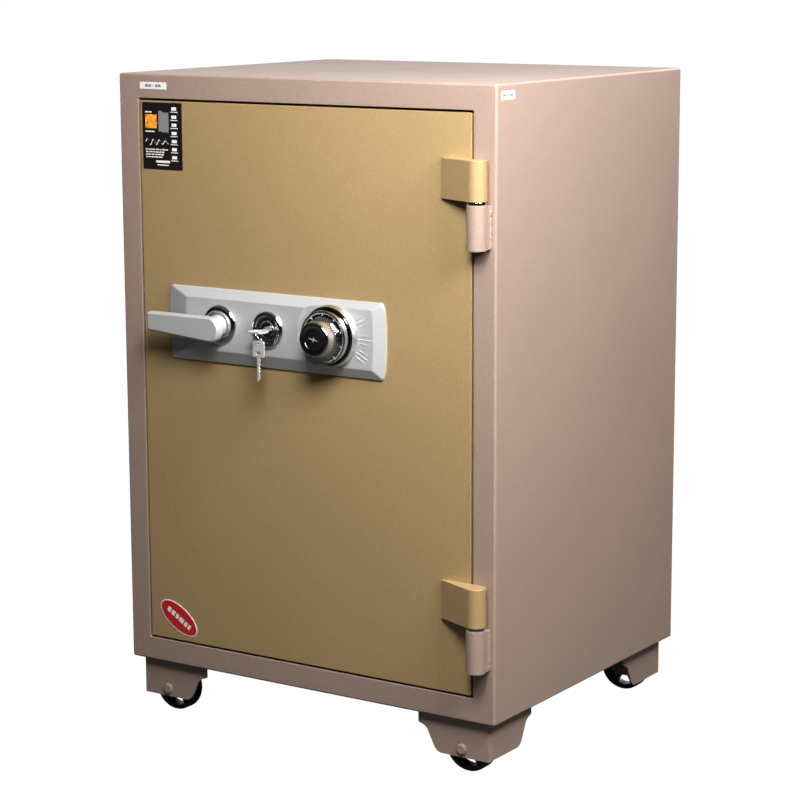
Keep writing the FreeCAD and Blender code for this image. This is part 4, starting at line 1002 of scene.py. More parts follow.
    def _wire_ring(self) -> Tree:
        """Round wire bent to a ring that stands across the x axis."""
        wiring, given = RuleMesh.start(
            "wire_ring",
            [("Radius", NUMBER, 0.007), ("Wire", NUMBER, 0.0005),
             ("Centre", VECTOR, (0.0, 0.0, 0.0))],
        )
        path = wiring.add(
            "GeometryNodeCurvePrimitiveCircle", {"Resolution": 72, "Radius": given.outputs["Radius"]}
        )
        section = wiring.add(
            "GeometryNodeCurvePrimitiveCircle", {"Resolution": 14, "Radius": given.outputs["Wire"]}
        )
        wire = wiring.add(
            "GeometryNodeCurveToMesh", {"Curve": path.outputs[0], "Profile Curve": section.outputs[0]}
        )
        turned = wiring.add(
            "GeometryNodeTransform",
            {"Geometry": wire.outputs[0], "Translation": given.outputs["Centre"],
             "Rotation": (0.0, math.pi / 2, 0.0)},
        )
        return RuleMesh.end(wiring, given, turned.outputs[0])


# ------------------------------------------------------------------ workshop


class Workshop:
    """Hands out the place, the finishes and the rules, and makes finished pieces."""

    def __init__(self, frame: dict) -> None:
        """Read where the cabinet stands and build every finish.

        Args:
            frame: The loaded frame.
        """
        low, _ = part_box("front_frame")
        self.frame = frame
        self.place = Place(low[1], low[2])
        effects = EffectLibrary()
        self.paints = {finish.name: finish.material(effects) for finish in FINISHES}
        self.rules = RuleLibrary()

    def dress_nodes(self, special: dict[str, str]) -> None:
        """Give every CAD node the finish of its slot, or one named for it.

        Args:
            special: Node name to finish name.
        """
        for part in self.frame["record"]["subparts"]:
            node = self.frame["nodes"][part["node"]]
            finish = self.paints[special.get(part["node"], part["material_slot"])]
            node.data.materials.clear()
            node.data.materials.append(finish)

    def cut(self, body: Shape, cutter: Shape) -> Mesh:
        """Take one shape out of another.

        Args:
            body: What is cut.
            cutter: What is taken away.

        Returns:
            The mesh of what is left.
        """
        meshes = (body.mesh(self.place, "body"), cutter.mesh(self.place, "cutter"))
        holders = [bpy.data.objects.new(data.name, data) for data in meshes]
        for holder in holders:
            bpy.context.scene.collection.objects.link(holder)
        modifier = holders[0].modifiers.new("cut", "BOOLEAN")
        modifier.object = holders[1]
        modifier.operation = "DIFFERENCE"
        modifier.solver = "EXACT"
        result = evaluated_mesh(holders[0])
        for holder in holders:
            bpy.data.objects.remove(holder)
        return result

    def piece(
        self,
        name: str,
        body: str,
        slot: str,
        made: Shape | Mesh,
        finishes: Sequence[str] = (),
        replaces: Sequence[str] = (),
        crease: float = 38.0,
    ) -> bpy.types.Object:
        """Make one finished piece.

        Args:
            name: The piece's name.
            body: The CAD body that it rides on.
            slot: The record's material slot.
            made: Its shape, or its mesh in metres of the shared frame.
            finishes: Names of its finishes, by index; the slot's own if there are none.
            replaces: CAD nodes that it stands for.
            crease: Angle in degrees past which an edge stays sharp.

        Returns:
            The piece's object.
        """
        data = made.mesh(self.place, name) if isinstance(made, Shape) else made
        data.name = name
        result = bpy.data.objects.new(name, data)
        bpy.context.scene.collection.objects.link(result)
        data.materials.clear()
        for finish in finishes or (slot,):
            data.materials.append(self.paints[finish])
        data.shade_smooth()
        data.set_sharp_from_angle(angle=math.radians(crease))
        weights = result.modifiers.new("weights", "WEIGHTED_NORMAL")
        weights.keep_sharp = True
        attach(result, body)
        if replaces:
            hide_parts(*replaces)
        LOG.info("%s on %s: %d faces", name, body, len(data.polygons))
        return result

    def ruled(
        self,
        name: str,
        body: str,
        slot: str,
        tree: Tree,
        values: dict[str, object],
        points: Sequence[Vector] = (),
        finish: str = "",
        replaces: Sequence[str] = (),
    ) -> bpy.types.Object:
        """Make one finished piece with a rule.

        Args:
            name: The piece's name.
            body: The CAD body that it rides on.
            slot: The record's material slot.
            tree: The rule.
            values: The rule's input names to values.
            points: Points in metres that the rule starts from.
            finish: Name of its finish; the slot's own if empty.
            replaces: CAD nodes that it stands for.

        Returns:
            The piece's object.
        """
        look = self.paints[finish or slot]
        data = RuleMesh.run(tree, points, {**values, "Finish": look}, name)
        return self.piece(name, body, slot, data, (finish or slot,), replaces)


def inset(outline: Sequence[Flat], depth: float) -> list[Flat]:
    """Move a closed outline inwards, corner by corner.

    Args:
        outline: The outline's points.
        depth: How far its edges move.

    Returns:
        The moved points.
    """
    area = sum(a[0] * b[1] - b[0] * a[1] for a, b in zip(outline, [*outline[1:], outline[0]]))
    side = 1.0 if area > 0 else -1.0
    moved = []
    for index, point in enumerate(outline):
        here = Vector(point)
        into = (here - Vector(outline[index - 1])).normalized()
        away = (Vector(outline[(index + 1) % len(outline)]) - here).normalized()
        inward = Vector((-into.y - away.y, into.x + away.x)).normalized() * side
        spread = max(0.35, inward.dot(Vector((-into.y, into.x)) * side))
        moved.append(tuple(here + inward * (depth / spread)))
    return moved


def layered(
    outline: Sequence[Flat], levels: Sequence[Flat], centre: Sequence[float], facing: Facing
) -> list[list[Vector]]:
    """Loops of one outline at several heights, each drawn in by its own depth.

    Args:
        outline: The widest outline.
        levels: Height and inset pairs.
        centre: Where the outline's own origin lies.
        facing: Which way heights grow.

    Returns:
        The loops, ready for a loft.
    """
    return [[facing.turn(centre, x, y, height) for x, y in inset(outline, depth)] for height, depth in levels]


def edge_levels(low: float, high: float, edge: float) -> list[Flat]:
    """Levels of a slab whose two rims are rounded.

    Args:
        low: Height of its lower face.
        high: Height of its upper face.
        edge: Radius of its rims.

    Returns:
        Height and inset pairs.
    """
    turn = [(edge * (1 - math.sin(a)), edge * (1 - math.cos(a))) for a in (0.0, 0.52, 1.05, 1.571)]
    bottom = [(low + rise, depth) for depth, rise in turn]
    top = [(high - rise, depth) for depth, rise in turn[::-1]]
    return bottom + top


# ------------------------------------------------------------------ cabinet


@dataclass
class Cabinet:
    """Outer wrap and the front frame with the stepped jamb that the door closes into."""

    shop: Workshop
    half: float = 292.0
    height: float = 800.0
    back: float = 482.0
    sheet: float = 2.0
    corner: float = 3.0
    border: float = 32.0
    ledge: float = 46.0
    rear_ledge: float = 64.0
    reveal: float = 30.0
    throat: float = 98.0
    pocket: Flat = (243.0, 251.0)
    pocket_half: float = 14.0

    def loop(self, rise: float, radius: float, y: float) -> list[Vector]:
        """A loop that lies a rise inside the cabinet's outline."""
        return frame_loop(self.half - rise, rise, self.height - rise, radius, y)

    def build(self) -> None:
        """Build the wrap, the frame and the back."""
        wrap = Shape().loft(
            [self.loop(0, self.corner, 3), self.loop(0, self.corner, self.back),
             self.loop(self.sheet, 1.2, self.back), self.loop(self.sheet, 1.2, 3)], ring=True)
        self.shop.piece("cabinet_wrap", "cabinet", "cabinet_paint", wrap,
                        replaces=("outer_shell",))
        frame = Shape().loft(self._frame_loops(), ring=True)
        pockets = Shape()
        for z in BOLT_HEIGHTS:
            for side in (-1, 1):
                low, high = sorted(side * edge for edge in self.pocket)
                pockets.block((low, 46, z - self.pocket_half), (high, 76, z + self.pocket_half))
        self.shop.piece("door_frame", "cabinet", "cabinet_paint", self.shop.cut(frame, pockets),
                        replaces=("front_frame",))
        plate = Shape().loft(
            [self.loop(0, self.corner, self.back), self.loop(0, self.corner, self.back + 1),
             self.loop(0.4, 2.7, self.back + 1.7), self.loop(1.2, 2.2, self.back + 2),
             self.loop(16, 2.2, self.back + 2),
             self.loop(17, 2.2, self.back + 1.2), self.loop(20, 2.2, self.back + 1.2),
             self.loop(21, 2.2, self.back + 2)])
        self.shop.piece("back_plate", "cabinet", "cabinet_paint", plate,
                        replaces=("rear_panel",))

    def _frame_loops(self) -> list[list[Vector]]:
        """Loops of the frame's folded section, from its outer back edge round to its inside."""
        nose = [(self.corner - self.corner * math.sin(a), self.corner - self.corner * math.cos(a))
                for a in (1.571, 1.22, 0.87, 0.52, 0.26, 0.0)]
        loops = [self.loop(rise, self.corner, y) for rise, y in nose]
        for rise, y, radius in (
            (self.border - 1.0, 0.0, 3.0), (self.border - 0.3, 0.3, 2.4), (self.border, 1.0, 2.0),
            (self.border, self.reveal, 2.0), (self.ledge - 0.8, self.reveal, 2.0),
            (self.ledge, self.reveal + 0.8, 2.0), (self.ledge, self.throat, 2.0),
            (self.rear_ledge, self.throat, 2.0), (self.rear_ledge, self.throat + 1.5, 2.0),
            (self.ledge - 2, self.throat + 1.5, 2.0), (self.ledge - 2, self.reveal + 2, 2.0),
            (self.border - 2, self.reveal + 2, 2.0), (self.border - 2, 3.0, 2.0), (3.0, 3.0, 2.0),
        ):
            loops.append(self.loop(rise, radius, y))
        return loops


# ------------------------------------------------------------------ door


@dataclass
class Door:
    """Front pan, pressed inner cover and its screws."""

    shop: Workshop
    half: float = 257.0
    low: float = 35.0
    high: float = 765.0
    depth: float = 27.0
    plug_left: float = -235.0
    plug_right: float = 241.0
    plug_low: float = 51.0
    plug_high: float = 749.0
    cover_start: float = 25.0
    cover_back: float = 90.0
    skin: float = 1.2
    relief: float = 2.0
    bolt_hole: float = 9.4
    screw_radius: float = 4.5

    def plug_loop(self, rise: float, radius: float, y: float) -> list[Vector]:
        """A loop that lies a rise inside the plug's outline."""
        middle = (self.plug_left + self.plug_right) / 2
        half = (self.plug_right - self.plug_left) / 2 - rise
        return frame_loop(half, self.plug_low + rise, self.plug_high - rise, radius, y, middle)

    def build(self) -> None:
        """Build the pan, the cover and the screws."""
        pan = Shape().loft([
            frame_loop(self.half - 1, self.low + 1, self.high - 1, 0.8, 0.0),
            frame_loop(self.half - 0.3, self.low + 0.3, self.high - 0.3, 1.2, 0.3),
            frame_loop(self.half, self.low, self.high, 1.5, 1.0),
            frame_loop(self.half, self.low, self.high, 1.5, self.depth - 0.5),
            frame_loop(self.half - 0.5, self.low + 0.5, self.high - 0.5, 1.2, self.depth),
            self.plug_loop(0, 1.5, self.depth),
            self.plug_loop(0, 1.5, 3.0),
        ])
        self.shop.piece("door_pan", "door", "door_paint", pan,
                        replaces=("door_outer_plate",))
        self.shop.piece("door_cover", "door", "sheet_steel", self._cover(), replaces=("door_inner_cover",))
        spots = [(x, z) for x in (-219, 225) for z in (67, 240, 560, 733)] + [(3, 67), (3, 733)]
        points = [self.shop.place.at(x, self.cover_back, z) for x, z in spots]
        self.shop.ruled("door_cover_screws", "door", "chrome", self.shop.rules.screws,
                        {"Radius": self.screw_radius * MM, "Height": 2.4 * MM, "Seed": 7}, points,
                        replaces=("cover_screws",))

    def _cover(self) -> Mesh:
        """Press the sheet cover and cut its bolt holes.

        Returns:
            The cover's mesh.
        """
        skin = self.skin
        top = self.cover_back
        outer = [(0.0, 4.0, self.cover_start), (0.0, 4.0, top - 3), (0.4, 4.0, top - 1.5),
                 (1.5, 4.0, top - 0.4),
                 (3.0, 4.0, top), (31.0, 6.0, top), (34.0, 6.0, top + self.relief - 0.4),
                 (36.0, 6.0, top + self.relief)]
        inner = [(36.0, 6.0, top + self.relief - skin), (3.0 + skin, 4.0, top - skin),
                 (skin, 4.0, top - 3), (skin, 4.0, self.cover_start)]
        cover = Shape().loft([self.plug_loop(*item) for item in inner + outer])
        holes = Shape()
        for z in BOLT_HEIGHTS:
            for x, reach in ((self.plug_left - 4, 10), (self.plug_right - 6, 10)):
                hole = [(0, 0), (self.bolt_hole, 0), (self.bolt_hole, reach), (0, reach)]
                holes.lathe(hole, (x, 60, z), Facing.RIGHT, 40)
        return self.shop.cut(cover, holes)


@dataclass
class Hinges:
    """Door leaves, frame knuckles with their welds, and the washers between them."""

    shop: Workshop
    pivot: Flat = (273.0, -14.0)
    leaf_radius: float = 13.0
    leaf_reach: float = 58.0
    leaf_slope: float = 23.0
    leaf_height: float = 50.0
    leaf_feet: tuple[float, float] = (660.0, 131.0)
    knuckle_radius: float = 12.5
    knuckle_height: float = 56.0
    washer_radius: float = 12.0
    washer_height: float = 3.7

    def build(self) -> None:
        """Build both hinges."""
        for label, foot in zip(("upper", "lower"), self.leaf_feet):
            slope = math.radians(self.leaf_slope)
            touch = (-self.leaf_radius * math.sin(slope), -self.leaf_radius * math.cos(slope))
            run = self.leaf_reach + touch[0]
            tip = touch[1] + run * math.tan(slope)
            turn = arc((0, 0), self.leaf_radius, 270 - self.leaf_slope, 450, 40)
            outline = [(-self.leaf_reach, 14.0), (-self.leaf_reach, tip + 0.8),
                       (-self.leaf_reach + 0.8, tip - 0.3), *turn, (-16.0, self.leaf_radius), (-16.0, 14.0)]
            loops = layered(
                outline, edge_levels(foot, foot + self.leaf_height, 0.7), (*self.pivot, 0), Facing.UP
            )
            self.shop.piece(f"{label}_leaf", "door", "door_paint",
                            Shape().loft(loops), replaces=(f"{label}_hinge_leaf",),
                            crease=50)
        self._knuckles()
        washers = Shape()
        for foot in self.leaf_feet:
            r, h = self.washer_radius, self.washer_height
            base = foot - 4.0 + 0.15
            washers.lathe([(7.05, 0), (7.05, h), (r - 1.2, h), (r - 0.3, h - 0.4), (r, h - 1.3), (r, 1.3),
                           (r - 0.3, 0.4), (r - 1.2, 0)], (*self.pivot, base), Facing.UP, 64)
        self.shop.piece("washers", "cabinet", "chrome", washers,
                        replaces=("hinge_washers",))

    def _knuckles(self) -> None:
        """Build the frame knuckles, their lugs and weld beads."""
        shape = Shape()
        beads = []
        for foot in self.leaf_feet:
            base = foot - 4.0 - self.knuckle_height
            r, h = self.knuckle_radius, self.knuckle_height
            shape.lathe([(7.05, 0), (7.05, h), (r - 0.8, h), (r - 0.2, h - 0.25), (r, h - 0.9), (r, 1.6),
                         (r - 0.5, 0.5), (r - 1.6, 0)], (*self.pivot, base), Facing.UP, 72)
            lug = rounded([(-8, 0, 0), (12, 0, 0), (12, 11, 1.5), (11, 14, 0.4), (-8, 14, 0)])
            shape.loft(
                layered(lug, edge_levels(base + 1.5, base + h - 1.5, 0.6), (*self.pivot, 0), Facing.UP)
            )
            for k in range(36):
                z = base + 2.5 + k * (h - 5) / 35
                wander = 0.35 * math.sin(k * 0.9) + 0.25 * math.sin(k * 2.3)
                beads.append(self.shop.place.at(self.pivot[0] + 11.8 + wander, self.pivot[1] + 12.6, z))
                beads.append(self.shop.place.at(self.pivot[0] - 8.2, self.pivot[1] + 12.6 + wander, z))
        self.shop.piece("knuckles", "cabinet", "cabinet_paint", shape,
                        replaces=("frame_knuckles",))
        self.shop.ruled("knuckle_welds", "cabinet", "cabinet_paint", self.shop.rules.weld,
                        {"Radius": 1.2 * MM, "Uneven": 0.15, "Seed": 5}, beads)


# ------------------------------------------------------------------ lock plate


@dataclass
class LockPlate:
    """Cast plate behind the handle, the key and the dial."""

    shop: Workshop
    left: float = -211.5
    right: float = 133.0
    low: float = 426.0
    high: float = 524.0
    lip: float = 2.5
    thick: float = 12.0
    bevels: tuple[float, float, float, float] = (34.5, 20.5, 17.0, 12.4)
    dial: Flat = (55.0, 478.0)
    bulge: float = 3.4
    corner: float = 5.0
    bow: tuple[float, float] = (46.5, 52.0)
    recess: float = 2.6
    edge_tries: int = 4
    columns: int = 300
    rows: tuple[int, int, int] = (12, 66, 12)
    mark_groups: tuple[Flat, ...] = ((24.0, 59.0), (-2.0, 61.0), (-26.0, 61.0))
    mark_steps: tuple[Flat, ...] = ((-6.0, 2.0), (0.0, 0.0), (6.0, 3.0))
    mark_start: float = 42.0
    mark_half: float = 0.45

    def level(self, x: float, z: float) -> float:
        """Height of the flat: full beside the dial's bow, lower inside it and to its right.

        Args:
            x: Place across.
            z: Place up.

        Returns:
            Distance from the door.
        """
        across = x - self.dial[0]
        if across >= 0:
            return self.thick - self.recess
        share = (math.hypot(across, z - self.dial[1]) - self.bow[0]) / (self.bow[1] - self.bow[0])
        return self.thick - self.recess * (1.0 - max(0.0, min(1.0, share)))

    def field_edges(self, x: float) -> tuple[float, float]:
        """Find where the flat field meets the bevels at one place across.

        Args:
            x: Place across.

        Returns:
            The field's lower and upper edge.
        """
        edges = []
        for base, width in ((self.low, self.bevels[2]), (self.high, -self.bevels[3])):
            edge = base + width
            for _ in range(self.edge_tries):
                edge = base + width * (self.level(x, edge) - self.lip) / (self.thick - self.lip)
            edges.append(edge)
        return edges[0], edges[1]

    def height(self, x: float, z: float, left: float, right: float) -> float:
        """How far the plate stands off the door at one point.

        Args:
            x: Place across.
            z: Place up.
            left: The plate's left edge at that height.
            right: Its right edge there.

        Returns:
            Distance from the door.
        """
        runs = (x - left, right - x, z - self.low, self.high - z)
        share = max(0.0, min(run / width for run, width in zip(runs, self.bevels)))
        return min(self.level(x, z), self.lip + (self.thick - self.lip) * share)

    def build(self) -> None:
        """Build the plate and its raised index marks."""
        self.shop.piece(
            "lock_plate", "door", "satin_metal", self._plate(), replaces=("escutcheon",), crease=60
        )
        marks = Shape()
        flat = self.thick - self.recess
        for middle, reach in self.mark_groups:
            for step, cut in self.mark_steps:
                angle = math.radians(middle + step)
                along = Vector((math.cos(angle), math.sin(angle)))
                side = Vector((-along.y, along.x)) * self.mark_half
                near, far = along * (self.mark_start + cut), along * (reach - cut)
                outline = [tuple(near - side), tuple(far - side * 0.5), tuple(far + side * 0.5),
                           tuple(near + side)]
                centre = (self.dial[0], 0.3 - flat, self.dial[1])
                marks.loft(layered(outline, [(0, 0), (0.7, 0.0), (1.0, 0.2)], centre, Facing.FORWARD))
        self.shop.piece("dial_index_marks", "door", "satin_metal", marks)

    def _plate(self) -> Shape:
        """Make the plate's front as a fine sheet, closed round its rim and behind.

        Returns:
            The closed shape.
        """
        shape = Shape()
        bm = shape.bm
        grid = []
        low_rows, field_rows, high_rows = self.rows
        total = low_rows + field_rows + high_rows
        for row in range(total + 1):
            nominal = self.low + (self.high - self.low) * row / total
            bend = ((nominal - (self.low + self.high) / 2) / ((self.high - self.low) / 2)) ** 2
            left, right = self.left + self.bulge * 0.6 * bend, self.right - self.bulge * bend
            line = []
            for column in range(self.columns + 1):
                x = left + (right - left) * column / self.columns
                near_end = max(0.0, self.corner - (x - left), self.corner - (right - x))
                trim = self.corner - math.sqrt(max(self.corner**2 - near_end**2, 0.0))
                base_low, base_high = self.low + trim, self.high - trim
                field_low, field_high = self.field_edges(x)
                if row <= low_rows:
                    z = base_low + (field_low - base_low) * row / low_rows
                elif row <= low_rows + field_rows:
                    z = field_low + (field_high - field_low) * (row - low_rows) / field_rows
                else:
                    z = field_high + (base_high - field_high) * (row - low_rows - field_rows) / high_rows
                line.append(bm.verts.new((x, -self.height(x, z, left, right), z)))
            grid.append(line)
        for near, far in zip(grid, grid[1:]):
            for k in range(self.columns):
                bm.faces.new((near[k], near[k + 1], far[k + 1], far[k]))
        rim = [edge for edge in bm.edges if edge.is_boundary]
        walls = bmesh.ops.extrude_edge_only(bm, edges=rim)["geom"]
        foot = [item for item in walls if isinstance(item, bmesh.types.BMVert)]
        for vertex in foot:
            vertex.co.y = 0.0
        bmesh.ops.holes_fill(bm, edges=[edge for edge in bm.edges if edge.is_boundary], sides=0)
        return shape


@dataclass
class LeverHandle:
    """Rosette, neck and the long tapered arm."""

    shop: Workshop
    centre: Flat = (-121.0, 478.0)
    plate_front: float = -12.0
    neck: float = 14.0
    hub: float = 16.5
    drop: float = 3.5
    reach: float = 102.0
    taper: float = 4.6
    arm_back: float = 26.5
    arm_front: float = 38.5
    chamfer: float = 2.4
    tip_round: float = 3.5

    def build(self) -> None:
        """Build the rosette and the lever."""
        x, z = self.centre
        rosette = [(15.2, 0), (15.2, 2.6), (16.2, 3.9), (18.0, 4.8), (20.0, 5.0), (22.2, 4.7), (24.4, 3.6),
                   (25.9, 2.0), (26.5, 0.6), (26.5, 0)]
        shape = Shape().lathe(rosette, (x, self.plate_front, z), Facing.FORWARD, 96)
        self.shop.piece("lever_rosette", "door", "chrome", shape,
                        replaces=("handle_rosette",))
        arm = Shape().loft(layered(self.arm_outline(), self.arm_levels(), (x, 0, z), Facing.FORWARD))
        end = self.arm_back + self.plate_front
        neck = [(0, 0.3), (self.neck, 0.3), (self.neck, 6.4), (self.neck - 0.5, 7.2), (self.neck - 1.6, 7.8),
                (self.neck - 1.6, end + 1), (0, end + 1)]
        arm.lathe(neck, (x, self.plate_front, z), Facing.FORWARD, 72)
        self.shop.piece("lever_arm", "lever", "satin_metal", arm,
                        replaces=("lever_handle",), crease=28)

    def arm_outline(self) -> list[Flat]:
        """Outline of the arm about the lever's axis, seen from the front."""
        slope = math.radians(self.taper)
        top = self.hub - self.drop
        start = -self.drop - self.hub * math.cos(slope)
        low = start + (self.reach - self.hub * math.sin(slope)) * math.tan(slope)
        turn = arc((0, -self.drop), self.hub, -90 - self.taper, 90, 40)
        tip = rounded([(0, top, 0), (-self.reach, top, self.tip_round), (-self.reach, low, self.tip_round),
                       (-self.hub * math.sin(slope), start, 0)], 6)
        return turn + tip[1:-1]

    def arm_levels(self) -> list[Flat]:
        """Heights and insets of the arm's section, back to front."""
        return [(self.arm_back, 1.2), (self.arm_back + 0.4, 0.4), (self.arm_back + 1.2, 0.0),
                (self.arm_front - self.chamfer, 0.0), (self.arm_front - self.chamfer + 0.25, 0.12),
                (self.arm_front - 0.2, self.chamfer - 0.1), (self.arm_front, self.chamfer + 0.35)]


@dataclass
class KeyLock:
    """Rosette, the key in the lock, its ring and the spare key that hangs from it."""

    shop: Workshop
    centre: Flat = (-43.0, 478.0)
    plate_front: float = -12.0
    key_front: float = 43.0
    key_back: float = 24.0
    key_half: float = 12.0
    key_thick: float = 2.2
    key_hole: float = 7.0
    hole_radius: float = 3.5
    ring_radius: float = 7.0
    ring_wire: float = 0.5
    ring_height: float = 473.1
    spare_hole: float = 464.9

    def build(self) -> None:
        """Build the rosette, both keys and the ring."""
        x, z = self.centre
        rosette = [(9.6, 0), (9.6, 2.2), (10.4, 3.0), (12.0, 3.2), (12.6, 2.2), (16.4, 2.0), (17.2, 3.6),
                   (18.4, 4.6), (20.0, 4.9), (22.0, 4.5), (23.6, 3.2), (24.4, 1.4), (24.5, 0)]
        shape = Shape().lathe(rosette, (x, self.plate_front, z), Facing.FORWARD, 96)
        self.shop.piece("key_rosette_ring", "door", "chrome", shape,
                        replaces=("key_rosette",))
        self._key_in_lock()
        ring_centre = self.shop.place.at(x + self.key_hole, -42, self.ring_height)
        self.shop.ruled("wire_key_ring", "ring", "chrome", self.shop.rules.wire_ring,
                        {"Radius": self.ring_radius * MM, "Wire": self.ring_wire * MM, "Centre": ring_centre},
                        replaces=("key_ring",))
        self._spare_key()

    def _key_in_lock(self) -> None:
        """The key that stands in the lock, seen on its edge."""
        x, z = self.centre
        bow = rounded([(-self.key_half, -self.key_front, 4), (self.key_half, -self.key_front, 4),
                       (self.key_half, -self.key_back - 1, 4), (4.2, -self.key_back, 1.5), (4.2, -16.5, 0),
                       (-4.2, -16.5, 0), (-4.2, -self.key_back, 1.5),
                       (-self.key_half, -self.key_back - 1, 4)])
        half = self.key_thick / 2
        loops = layered(bow, edge_levels(-half, half, 0.35), (x, 0, z), Facing.UP)
        body = Shape().loft(loops)
        bore = self.hole_radius
        hole = Shape().lathe(
            [(0, -4), (bore, -4), (bore, 4), (0, 4)], (x + self.key_hole, -37, z), Facing.UP, 32
        )
        data = self.shop.cut(body, hole)
        self.shop.piece("key_in_lock", "key_and_plug", "chrome", data, ("key_nickel",), replaces=("key",))

    def _spare_key(self) -> None:
        """The spare key: a square bow with a hole and a window, and a toothed blade."""
        x, hole = self.centre[0] + self.key_hole, self.spare_hole
        bow = rounded([(-9, -18, 1.8), (9, -18, 1.8), (9, 3.0, 2.2), (-9, 3.0, 2.2)])
        teeth = [(2.2, -18), (2.2, -24), (1.2, -25.5), (2.2, -27.2), (2.2, -29), (0.8, -31), (2.0, -33),
                 (1.0, -35), (2.2, -37), (0.6, -39.5), (1.8, -41.5), (1.2, -43.5), (2.2, -45.5), (1.0, -48),
                 (0, -50)]
        blade = [(-1.4, -50), (-2.4, -48.4), (-2.4, -17), (2.2, -17), *teeth[:-1]]
        thick = edge_levels(41.05, 42.95, 0.3)
        body = Shape().loft(layered(bow, thick, (x, 0, hole), Facing.FORWARD))
        window = rounded([(-4, -14.5, 0.8), (4, -14.5, 0.8), (4, -10.5, 0.8), (-4, -10.5, 0.8)], 3)
        cutter = Shape().prism(window, 38, 46, (x, 0, hole), Facing.FORWARD)
        cutter.lathe([(0, 38), (2.0, 38), (2.0, 46), (0, 46)], (x, 0, hole), Facing.FORWARD, 28)
        data = self.shop.cut(body, cutter)
        self.shop.piece("spare_key_bow", "spare", "chrome", data, ("key_nickel",), replaces=("spare_key",))
        loops = layered(
            blade, [(41.3, 0.15), (41.45, 0.0), (42.55, 0.0), (42.7, 0.15)], (x, 0, hole), Facing.FORWARD
        )
        self.shop.piece("spare_key_blade", "spare", "chrome", Shape().loft(loops), ("key_nickel",))


